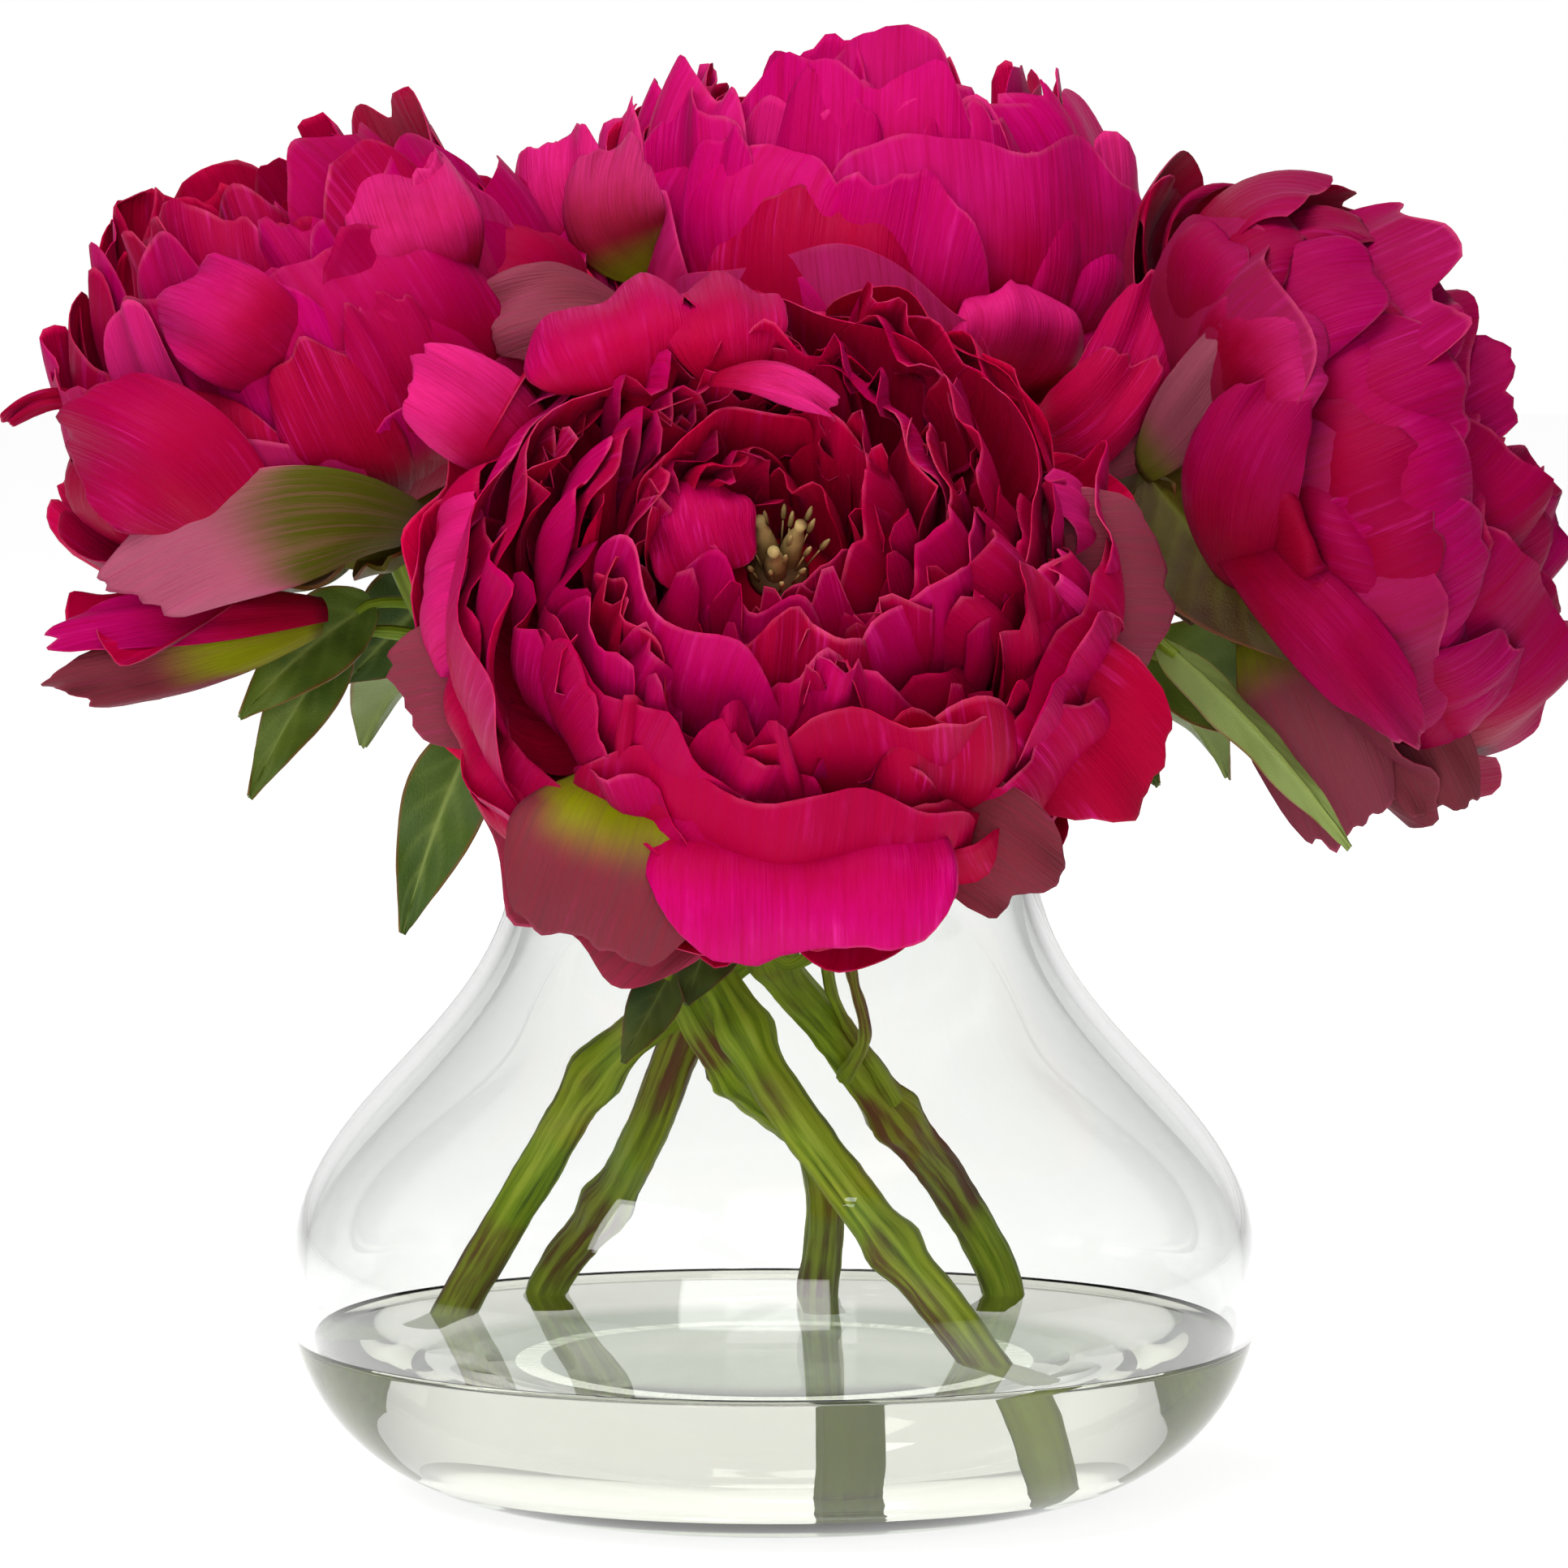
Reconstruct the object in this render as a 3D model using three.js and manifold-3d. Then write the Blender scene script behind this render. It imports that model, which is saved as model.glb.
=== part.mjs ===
// Four full peony blooms with their stems and leaves, standing in water in a squat clear glass vase.
// Millimetres, +Z up, the front faces -Y. The origin is the centre of the vase's underside.
import * as THREE from "three";
import { mergeVertices } from "three/addons/utils/BufferGeometryUtils.js";
import Module from "manifold-3d";

const wasm = await Module();
wasm.setup();

// Vase, blown glass
const VASE_BELLY_RADIUS = 75;
const VASE_BELLY_HEIGHT = 34;
const VASE_BASE_RADIUS = 40;
const VASE_NECK_RADIUS = 40;
const VASE_NECK_HEIGHT = 101;
const VASE_LIP_RADIUS = 43;
const VASE_HEIGHT = 114;
const VASE_WALL = 2.6;
const VASE_FLOOR = 5;
const VASE_FLOOR_RADIUS = 44;
const VASE_LIP_FLAT = 0.6;
// How far the outline's curves run straight on from their ends
const BASE_RUN = 20;
const BASE_LIFT = 1;
const BELLY_RUN_DOWN = 20;
const BELLY_RUN_UP = 29;
const NECK_RUN_DOWN = 30;
const NECK_RUN_UP = 7;
const LIP_DROP = 1.3;
const VASE_SEGMENTS = 32;
const VASE_STEPS = 4;

// Water
const WATER_LEVEL = 24.5;
const WATER_GAP = 0.3;
const WATER_FLOOR_RADIUS = 43.2;

// Stems
const STEM_RADIUS = 3.6;
const STEM_SIDES = 7;
const STEM_STEPS = 12;
const RECEPTACLE_RADIUS = 6.5;
const RECEPTACLE_LENGTH = 9;
const PETIOLE_RADIUS = 1.1;
const PETIOLE_SIDES = 4;
const PETIOLE_STEPS = 3;
const PETIOLE_ENTRY = 3;
const SHOOT_TAPER = 0.45;

// Blades: petals, sepals and leaves
const PETAL_THICKNESS = 0.9;
const SEPAL_THICKNESS = 1.0;
const LEAF_THICKNESS = 0.9;
const LEAF_FOLD = 0.35;
const LEAF_WAVE = 0.7;
const LEAF_WAVES = 1.3;
const LEAF_TIP_HALF_WIDTH = 0.4;
const LEAF_ROWS = [2, 3, 3, 3, 2];
const SEPAL_ROWS = [2, 3, 3, 2];
const SEPAL_COUNT = 5;
const SEPAL_HALF_WIDTH = 6.5;
const SEPAL_ROOT_RADIUS = 4;
const SEPAL_ROOT_DEPTH = 4.2;
const SEPAL_SHORTEST = 13;
const SEPAL_LENGTH_RANGE = 7;
const SEPAL_SAG = 2.5;
const SEPAL_DROP = 2;
const SEPAL_CUP = 1.2;
const SEAT_GAP = 0.3;

// Heart of a bloom: carpels and stamens
const HEART_RADIUS = 4.5;
const HEART_PAD_HEIGHT = 3;
const HEART_SEGMENTS = 7;
const CARPEL = { count: 3, length: 12, root: 1.4, spread: 0.18, thick: 1.5, tip: 0.6, sides: 4 };
const STAMEN = { count: 5, length: 15, root: 2.8, spread: 0.42, thick: 0.5, tip: 0.85, sides: 3 };
const TUFT_SINK = 0.8;

const UP = new THREE.Vector3(0, 0, 1);

/** Seeded random numbers between 0 and 1. */
function randomSource(seed) {
  let state = seed;
  return () => {
    state = (state + 0x6d2b79f5) | 0;
    let mixed = Math.imul(state ^ (state >>> 15), 1 | state);
    mixed = (mixed + Math.imul(mixed ^ (mixed >>> 7), 61 | mixed)) ^ mixed;
    return ((mixed ^ (mixed >>> 14)) >>> 0) / 4294967296;
  };
}

/** A closed three.js geometry as a solid that can be cut and joined. */
function toSolid(geometry) {
  const bare = geometry.clone();
  bare.deleteAttribute("normal");
  bare.deleteAttribute("uv");
  const merged = mergeVertices(bare, 1e-4);
  const mesh = new wasm.Mesh({
    numProp: 3,
    vertProperties: new Float32Array(merged.attributes.position.array),
    triVerts: new Uint32Array(merged.index.array),
  });
  return new wasm.Manifold(mesh);
}

/** A solid as a three.js geometry. */
function toGeometry(solid) {
  const mesh = solid.getMesh();
  const geometry = new THREE.BufferGeometry();
  geometry.setAttribute("position", new THREE.BufferAttribute(new Float32Array(mesh.vertProperties), 3));
  geometry.setIndex(new THREE.BufferAttribute(new Uint32Array(mesh.triVerts), 1));
  geometry.computeVertexNormals();
  return geometry;
}

/** Several geometries joined into one solid, without the small scraps that a join can leave. */
function fuse(geometries) {
  let joined = toSolid(geometries[0]);
  for (const geometry of geometries.slice(1)) {
    joined = joined.add(toSolid(geometry));
  }
  const bodies = joined.decompose().filter((body) => body.volume() > 0);
  bodies.sort((a, b) => b.volume() - a.volume());
  return bodies[0];
}

/** Triangles between two rows of vertices that may differ in number, in step with each other. */
function stitch(lower, upper) {
  const triangles = [];
  let i = 0;
  let j = 0;
  while (i < lower.length - 1 || j < upper.length - 1) {
    const lowerShare = (i + 1) / (lower.length - 1);
    const upperShare = (j + 1) / (upper.length - 1);
    if (j === upper.length - 1 || (i < lower.length - 1 && lowerShare <= upperShare)) {
      triangles.push([lower[i], lower[i + 1], upper[j]]);
      i += 1;
    } else {
      triangles.push([lower[i], upper[j + 1], upper[j]]);
      j += 1;
    }
  }
  return triangles;
}

/**
 * A closed blade about the surface point(u, v), with u from -1 to 1 across it and v from 0 at the root
 * to 1 at the tip. rowPoints: how many points each row has, from root to tip. Both faces get the same
 * triangles.
 */
function bladeGeometry(point, rowPoints, thickness) {
  const step = 0.01;
  const positions = [[], []];
  const rows = [];
  let count = 0;
  rowPoints.forEach((points, i) => {
    const v = i / (rowPoints.length - 1);
    const row = [];
    for (let j = 0; j < points; j++) {
      const u = (2 * j) / (points - 1) - 1;
      const across = point(u + step, v).sub(point(u - step, v));
      const along = point(u, v + step).sub(point(u, v - step));
      const normal = across.cross(along).normalize();
      const middle = point(u, v);
      positions[0].push(...middle.clone().addScaledVector(normal, thickness / 2).toArray());
      positions[1].push(...middle.clone().addScaledVector(normal, -thickness / 2).toArray());
      row.push(count);
      count += 1;
    }
    rows.push(row);
  });
  const indices = [];
  for (let i = 0; i < rows.length - 1; i++) {
    for (const [a, b, c] of stitch(rows[i], rows[i + 1])) {
      indices.push(a, b, c, count + a, count + c, count + b);
    }
  }
  const rightSide = rows.slice(1).map((row) => row[row.length - 1]);
  const leftSide = rows.slice(1, -1).map((row) => row[0]);
  const tip = rows[rows.length - 1].slice(0, -1);
  const rim = [...rows[0], ...rightSide, ...tip.reverse(), ...leftSide.reverse()];
  rim.forEach((here, k) => {
    const next = rim[(k + 1) % rim.length];
    indices.push(here, count + here, count + next, here, count + next, next);
  });
  const geometry = new THREE.BufferGeometry();
  geometry.setAttribute("position", new THREE.Float32BufferAttribute(positions.flat(), 3));
  geometry.setIndex(indices);
  return geometry;
}

/** A closed tube along a curve, with its radius given as a function of the way along it. */
function tubeGeometry(curve, radiusAt, sides, steps) {
  const frames = curve.computeFrenetFrames(steps, false);
  const positions = [];
  for (let i = 0; i <= steps; i++) {
    const centre = curve.getPointAt(i / steps);
    const radius = radiusAt(i / steps);
    for (let k = 0; k < sides; k++) {
      const angle = (2 * Math.PI * k) / sides;
      const point = centre
        .clone()
        .addScaledVector(frames.normals[i], radius * Math.cos(angle))
        .addScaledVector(frames.binormals[i], radius * Math.sin(angle));
      positions.push(point.x, point.y, point.z);
    }
  }
  const indices = [];
  for (let i = 0; i < steps; i++) {
    for (let k = 0; k < sides; k++) {
      const a = i * sides + k;
      const b = i * sides + ((k + 1) % sides);
      indices.push(a, b, b + sides, a, b + sides, a + sides);
    }
  }
  const last = steps * sides;
  for (let k = 1; k < sides - 1; k++) {
    indices.push(0, k + 1, k);
    indices.push(last, last + k, last + k + 1);
  }
  const geometry = new THREE.BufferGeometry();
  geometry.setAttribute("position", new THREE.Float32BufferAttribute(positions, 3));
  geometry.setIndex(indices);
  return geometry;
}

/** A lathe profile in (radius, height) turned about +Z. */
function turned(profile, segments) {
  const geometry = new THREE.LatheGeometry(profile, segments);
  geometry.rotateX(Math.PI / 2);
  return geometry;
}

/** Points of the vase's outside from the base's edge to the lip, in (radius, height). */
function vaseOutline(stepsPerSpan) {
  const lowerBelly = new THREE.CubicBezierCurve(
    new THREE.Vector2(VASE_BASE_RADIUS, 0),
    new THREE.Vector2(VASE_BASE_RADIUS + BASE_RUN, BASE_LIFT),
    new THREE.Vector2(VASE_BELLY_RADIUS, VASE_BELLY_HEIGHT - BELLY_RUN_DOWN),
    new THREE.Vector2(VASE_BELLY_RADIUS, VASE_BELLY_HEIGHT),
  );
  const shoulder = new THREE.CubicBezierCurve(
    new THREE.Vector2(VASE_BELLY_RADIUS, VASE_BELLY_HEIGHT),
    new THREE.Vector2(VASE_BELLY_RADIUS, VASE_BELLY_HEIGHT + BELLY_RUN_UP),
    new THREE.Vector2(VASE_NECK_RADIUS, VASE_NECK_HEIGHT - NECK_RUN_DOWN),
    new THREE.Vector2(VASE_NECK_RADIUS, VASE_NECK_HEIGHT),
  );
  const mouth = new THREE.QuadraticBezierCurve(
    new THREE.Vector2(VASE_NECK_RADIUS, VASE_NECK_HEIGHT),
    new THREE.Vector2(VASE_NECK_RADIUS, VASE_NECK_HEIGHT + NECK_RUN_UP),
    new THREE.Vector2(VASE_LIP_RADIUS, VASE_HEIGHT - LIP_DROP),
  );
  return [
    ...lowerBelly.getPoints(stepsPerSpan),
    ...shoulder.getPoints(stepsPerSpan + 1).slice(1),
    ...mouth.getPoints(2).slice(1),
  ];
}

/** The outline moved inwards by a distance, square to itself. */
function insetOutline(outline, distance) {
  return outline.map((point, k) => {
    const before = outline[Math.max(k - 1, 0)];
    const after = outline[Math.min(k + 1, outline.length - 1)];
    const along = new THREE.Vector2().subVectors(after, before).normalize();
    return new THREE.Vector2(point.x - along.y * distance, point.y + along.x * distance);
  });
}

/** The glass: one closed profile, out along the base, up the outside, over the lip and down the inside. */
function vaseGeometry() {
  const outside = vaseOutline(VASE_STEPS);
  const inside = insetOutline(outside, VASE_WALL).filter((point) => point.y > VASE_FLOOR + 0.5);
  const lipMiddle = VASE_LIP_RADIUS - VASE_WALL / 2;
  const profile = [
    new THREE.Vector2(0, 0),
    ...outside,
    new THREE.Vector2(lipMiddle + VASE_LIP_FLAT, VASE_HEIGHT),
    new THREE.Vector2(lipMiddle - VASE_LIP_FLAT, VASE_HEIGHT),
    ...inside.reverse(),
    new THREE.Vector2(VASE_FLOOR_RADIUS, VASE_FLOOR),
    new THREE.Vector2(0, VASE_FLOOR),
  ];
  return turned(profile, VASE_SEGMENTS);
}

/** The water before its stem holes: it fills the vase's inside up to its level, a hair clear of the glass. */
function waterGeometry() {
  const wall = insetOutline(vaseOutline(VASE_STEPS), VASE_WALL + WATER_GAP);
  const lowest = VASE_FLOOR + WATER_GAP;
  const below = wall.filter((point) => point.y > lowest + 0.8 && point.y < WATER_LEVEL - 1);
  const nextUp = wall.find((point) => point.y >= WATER_LEVEL - 1);
  const lastBelow = below[below.length - 1];
  const share = (WATER_LEVEL - lastBelow.y) / (nextUp.y - lastBelow.y);
  const surfaceRadius = lastBelow.x + (nextUp.x - lastBelow.x) * Math.min(share, 1);
  const profile = [
    new THREE.Vector2(0, lowest),
    new THREE.Vector2(WATER_FLOOR_RADIUS, lowest),
    ...below,
    new THREE.Vector2(surfaceRadius, WATER_LEVEL),
    new THREE.Vector2(0, WATER_LEVEL),
  ];
  return turned(profile, VASE_SEGMENTS);
}

// One petal layer of a bloom. reach, rise: where the rim stands, as shares of the bloom's radius and
// height. belly: how far the petal bulges beyond its rim. width: half width as a share of the radius.
// rows: points in each row of the petal's facets, from root to rim.
const PETAL_LAYERS = [
  { count: 5, reach: 1.14, rise: 0.42, belly: 0.9, width: 0.66, cup: 1.0, ruffle: 1.8, jag: 0.04, rows: [2, 4, 5, 5] },
  { count: 5, reach: 0.97, rise: 0.78, belly: 1.1, width: 0.68, cup: 0.9, ruffle: 1.2, jag: 0.06, rows: [2, 4, 5, 5] },
  { count: 5, reach: 0.79, rise: 0.95, belly: 1.12, width: 0.56, cup: 0.8, ruffle: 1, jag: 0.08, rows: [2, 4, 5, 5] },
  { count: 4, reach: 0.57, rise: 1.03, belly: 1.16, width: 0.46, cup: 0.6, ruffle: 0.8, jag: 0.1, rows: [2, 4, 4] },
  { count: 3, reach: 0.36, rise: 1.0, belly: 1.2, width: 0.36, cup: 0.4, ruffle: 0.6, jag: 0.1, rows: [2, 4, 4] },
];
const LOOSE_PETAL = { width: 0.5, cup: 1.3, ruffle: 2.4, jag: 0.05, rows: [2, 4, 5, 5] };
const CORE_RADIUS = 11.5;
const CORE_SEGMENTS = 7;
const PETAL_ROOT_RADIUS = 9;
const FIRST_ROOT_HEIGHT = 2.6;
const ROOT_SPACING = 2.2;
const LOOSE_ROOT_HEIGHT = 0.95;
const CLAW_SHARE = 0.13;
const CLAW_END = 0.62;
const IMBRICATION = 0.16;
const IMBRICATION_RANGE = 0.04;
const AZIMUTH_RANGE = 0.2;
const SIZE_RANGE = 0.12;
const RIM_ROUNDING = 0.2;
const RIM_ROUNDING_POWER = 2.4;
const RIM_OVERRUN = 1.05;
const NOTCHES = 17;
const RUFFLE_WAVES = 1.05;
// The core's outline, as heights in shares of the bloom's height
const CORE_WAIST = 0.25;
const CORE_SHOULDER = 0.48;
const CORE_TOP = 0.62;

/** The middle line of a petal in (radius, height), from its root on the core to its rim. */
function petalMidline(layer, bloom, index) {
  const reach = layer.reach * bloom.radius;
  const rise = layer.rise * bloom.height;
  const rootHeight = FIRST_ROOT_HEIGHT + index * ROOT_SPACING;
  const lowBelly = index === 0 ? -1 : rootHeight;
  const highBelly = index === 0 ? 0.08 : 0.62;
  return new THREE.CubicBezierCurve(
    new THREE.Vector2(PETAL_ROOT_RADIUS, rootHeight),
    new THREE.Vector2((index === 0 ? 0.5 : layer.belly) * reach, lowBelly),
    new THREE.Vector2(layer.belly * 1.04 * reach, highBelly * rise),
    new THREE.Vector2(reach, rise),
  );
}

/** The middle line of a loose guard petal, which lies back from under the bloom. */
function looseMidline(loose) {
  return new THREE.CubicBezierCurve(
    new THREE.Vector2(PETAL_ROOT_RADIUS, LOOSE_ROOT_HEIGHT),
    new THREE.Vector2(0.5 * loose.reach, LOOSE_ROOT_HEIGHT - 1),
    new THREE.Vector2(0.9 * loose.reach, 0.15 * loose.rise),
    new THREE.Vector2(loose.reach, loose.rise),
  );
}

/** A petal's middle surface in the bloom's own frame: the bloom's axis is +Z, its base is the origin. */
function petalSurface(layer, midline, bloom, azimuth, random, roll = 0) {
  const size = 1 + SIZE_RANGE * (random() - 0.5);
  const phase = 2 * Math.PI * random();
  const lean = IMBRICATION + IMBRICATION_RANGE * (random() - 0.5);
  const cup = layer.cup * bloom.radius;
  return (u, v) => {
    const rounding = RIM_ROUNDING * Math.abs(u) ** RIM_ROUNDING_POWER;
    const notch = layer.jag * Math.sin(NOTCHES * u + 5 * phase);
    const t = Math.min(Math.max(v * (1 - rounding * v + notch * v ** 3) * size, 0), RIM_OVERRUN);
    const spread = CLAW_SHARE + (1 - CLAW_SHARE) * Math.sin((Math.PI / 2) * Math.min(1, t / CLAW_END));
    const across = u * layer.width * bloom.radius * spread;
    const middle = midline.getPoint(Math.min(t, 1));
    const tangent = midline.getTangent(Math.min(t, 1));
    const past = Math.max(t - 1, 0) * bloom.height;
    const wave = layer.ruffle * t * t * Math.sin(2 * Math.PI * RUFFLE_WAVES * u + phase);
    const inward = cup * (1 - Math.cos(across / cup));
    const radial = middle.x + tangent.x * past + tangent.y * wave - inward + lean * across;
    const height = middle.y + tangent.y * past - tangent.x * wave + roll * across * t;
    const sideways = cup * Math.sin(across / cup);
    return new THREE.Vector3(
      radial * Math.cos(azimuth) - sideways * Math.sin(azimuth),
      radial * Math.sin(azimuth) + sideways * Math.cos(azimuth),
      height,
    );
  };
}

/** The rotation that turns +Z onto a bloom's axis, with a turn about that axis. */
function bloomMatrix(bloom) {
  const tilt = new THREE.Quaternion().setFromUnitVectors(UP, bloom.axis.clone().normalize());
  const turn = new THREE.Quaternion().setFromAxisAngle(UP, bloom.turn);
  return new THREE.Matrix4().compose(bloom.base, tilt.multiply(turn), new THREE.Vector3(1, 1, 1));
}

/** The petals of a bloom, fused to the small core that they stand on. */
function petalsGeometry(bloom) {
  const random = randomSource(bloom.seed);
  const coreTop = CORE_TOP * bloom.height;
  const coreProfile = [
    new THREE.Vector2(0, SEAT_GAP),
    new THREE.Vector2(CORE_RADIUS - 1, SEAT_GAP),
    new THREE.Vector2(CORE_RADIUS, CORE_WAIST * bloom.height),
    new THREE.Vector2(CORE_RADIUS - 1, CORE_SHOULDER * bloom.height),
    new THREE.Vector2(HEART_RADIUS + 1, coreTop),
    new THREE.Vector2(0, coreTop),
  ];
  const pieces = [turned(coreProfile, CORE_SEGMENTS)];
  PETAL_LAYERS.forEach((layer, index) => {
    const midline = petalMidline(layer, bloom, index);
    for (let k = 0; k < layer.count; k++) {
      const jitter = AZIMUTH_RANGE * (random() - 0.5);
      const azimuth = (2 * Math.PI * (k + 0.5 * (index % 2) + jitter)) / layer.count;
      const surface = petalSurface(layer, midline, bloom, azimuth, random);
      pieces.push(bladeGeometry(surface, layer.rows, PETAL_THICKNESS));
    }
  });
  const matrix = bloomMatrix(bloom);
  const inverse = matrix.clone().invert();
  for (const loose of bloom.loose) {
    const towards = bloom.base.clone().add(loose.towards).applyMatrix4(inverse);
    const azimuth = Math.atan2(towards.y, towards.x);
    const surface = petalSurface(LOOSE_PETAL, looseMidline(loose), bloom, azimuth, random, loose.roll);
    pieces.push(bladeGeometry(surface, LOOSE_PETAL.rows, PETAL_THICKNESS));
  }
  const geometry = toGeometry(fuse(pieces));
  geometry.applyMatrix4(matrix);
  return geometry;
}

/** A leaf's middle surface, folded along its rib and drooping towards its tip. */
function leafSurface(leaf) {
  const direction = leaf.direction.clone().normalize();
  const sideways = new THREE.Vector3().crossVectors(direction, leaf.face).normalize();
  const face = new THREE.Vector3().crossVectors(sideways, direction).normalize();
  return (u, v) => {
    const outline = Math.sin(Math.PI * (0.08 + 0.9 * Math.max(v, 0) ** 0.82));
    const halfWidth = Math.max(leaf.width * outline, LEAF_TIP_HALF_WIDTH);
    const wave = LEAF_WAVE * Math.sin(2 * Math.PI * LEAF_WAVES * v + leaf.width);
    return leaf.root
      .clone()
      .addScaledVector(direction, leaf.length * v)
      .addScaledVector(UP, -leaf.droop * v * v)
      .addScaledVector(sideways, u * halfWidth)
      .addScaledVector(face, Math.abs(u) * LEAF_FOLD * halfWidth + u * wave);
  };
}

/** The stem of a bloom or leafy shoot, as a smooth curve through its points. */
function stemCurve(points) {
  return new THREE.CatmullRomCurve3(
    points.map(([x, y, z]) => new THREE.Vector3(x, y, z)),
    false,
    "centripetal",
  );
}

/** A leaf blade with its petiole, which is sunk into the stem at a share of the stem's length. */
function leafPieces(leaf, curve) {
  const start = curve.getPointAt(leaf.at);
  const middle = start.clone().lerp(leaf.root, 0.5).addScaledVector(UP, leaf.arch);
  const entry = leaf.root.clone().addScaledVector(leaf.direction.clone().normalize(), PETIOLE_ENTRY);
  const petiole = new THREE.CatmullRomCurve3([start, middle, leaf.root, entry]);
  return [
    bladeGeometry(leafSurface(leaf), LEAF_ROWS, LEAF_THICKNESS),
    tubeGeometry(petiole, (t) => PETIOLE_RADIUS * (1.25 - 0.4 * t), PETIOLE_SIDES, PETIOLE_STEPS),
  ];
}

/** Five sepals that hug the underside of a bloom's petals. */
function sepalPieces(bloom) {
  const random = randomSource(bloom.seed + 7);
  const matrix = bloomMatrix(bloom);
  const pieces = [];
  for (let k = 0; k < SEPAL_COUNT; k++) {
    const azimuth = (2 * Math.PI * (k + 0.3 * random())) / SEPAL_COUNT;
    const length = SEPAL_SHORTEST + SEPAL_LENGTH_RANGE * random();
    const surface = (u, v) => {
      const halfWidth = SEPAL_HALF_WIDTH * Math.sin(Math.PI * (0.1 + 0.8 * v));
      const radial = SEPAL_ROOT_RADIUS + length * v;
      const sag = SEPAL_SAG * Math.sin(Math.PI * v) + SEPAL_DROP * v;
      const height = -SEPAL_ROOT_DEPTH - sag + Math.abs(u) * SEPAL_CUP;
      return new THREE.Vector3(
        radial * Math.cos(azimuth) - u * halfWidth * Math.sin(azimuth),
        radial * Math.sin(azimuth) + u * halfWidth * Math.cos(azimuth),
        height,
      ).applyMatrix4(matrix);
    };
    pieces.push(bladeGeometry(surface, SEPAL_ROWS, SEPAL_THICKNESS));
  }
  return pieces;
}

/** A flower stem: the stalk widening to the receptacle, with its sepals and leaves. */
function flowerStemSolid(bloom, stem) {
  const axis = bloom.axis.clone().normalize();
  const neckPoint = bloom.base.clone().addScaledVector(axis, -RECEPTACLE_LENGTH);
  const points = [...stem.points, neckPoint.toArray(), bloom.base.toArray()];
  const curve = stemCurve(points);
  const swelling = RECEPTACLE_LENGTH / curve.getLength();
  const radiusAt = (t) => {
    const near = Math.max(0, 1 - (1 - t) / swelling);
    return STEM_RADIUS + (RECEPTACLE_RADIUS - STEM_RADIUS) * near * near;
  };
  const pieces = [tubeGeometry(curve, radiusAt, STEM_SIDES, STEM_STEPS), ...sepalPieces(bloom)];
  for (const leaf of stem.leaves) {
    pieces.push(...leafPieces(leaf, curve));
  }
  return { solid: fuse(pieces), curve };
}

/** A shoot with leaves and no bloom. */
function leafyStemSolid(stem) {
  const curve = stemCurve(stem.points);
  const pieces = [tubeGeometry(curve, (t) => STEM_RADIUS * (1 - SHOOT_TAPER * t), STEM_SIDES, STEM_STEPS)];
  for (const leaf of stem.leaves) {
    pieces.push(...leafPieces(leaf, curve));
  }
  return { solid: fuse(pieces), curve };
}

/** The heart of a bloom: a tuft of carpels and stamens on the top of the core. */
function heartGeometry(bloom) {
  const random = randomSource(bloom.seed + 31);
  const foot = CORE_TOP * bloom.height + SEAT_GAP;
  const padProfile = [
    new THREE.Vector2(0, foot),
    new THREE.Vector2(HEART_RADIUS, foot),
    new THREE.Vector2(HEART_RADIUS * 0.7, foot + HEART_PAD_HEIGHT - 0.5),
    new THREE.Vector2(0, foot + HEART_PAD_HEIGHT),
  ];
  const pieces = [turned(padProfile, HEART_SEGMENTS)];
  for (const kind of [CARPEL, STAMEN]) {
    for (let k = 0; k < kind.count; k++) {
      const azimuth = (2 * Math.PI * k) / kind.count + 0.4 * random();
      const length = kind.length * (0.8 + 0.25 * random());
      const away = new THREE.Vector3(Math.cos(azimuth), Math.sin(azimuth), 0);
      const root = away.clone().multiplyScalar(kind.root).setZ(foot + TUFT_SINK);
      const tip = root.clone().addScaledVector(away, kind.spread * length).addScaledVector(UP, length);
      const bend = root.clone().lerp(tip, 0.5).addScaledVector(UP, 1);
      const curve = new THREE.QuadraticBezierCurve3(root, bend, tip);
      const radiusAt = (t) => kind.thick + (kind.tip - kind.thick) * t;
      pieces.push(tubeGeometry(curve, radiusAt, kind.sides, 1));
    }
  }
  const geometry = toGeometry(fuse(pieces));
  geometry.applyMatrix4(bloomMatrix(bloom));
  return geometry;
}

/** A loose guard petal: where it points from the bloom's base, its reach, rise and sideways tilt. */
function loosePetal(towards, reach, rise, roll = 0) {
  return { towards: new THREE.Vector3(...towards), reach, rise, roll };
}

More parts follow.
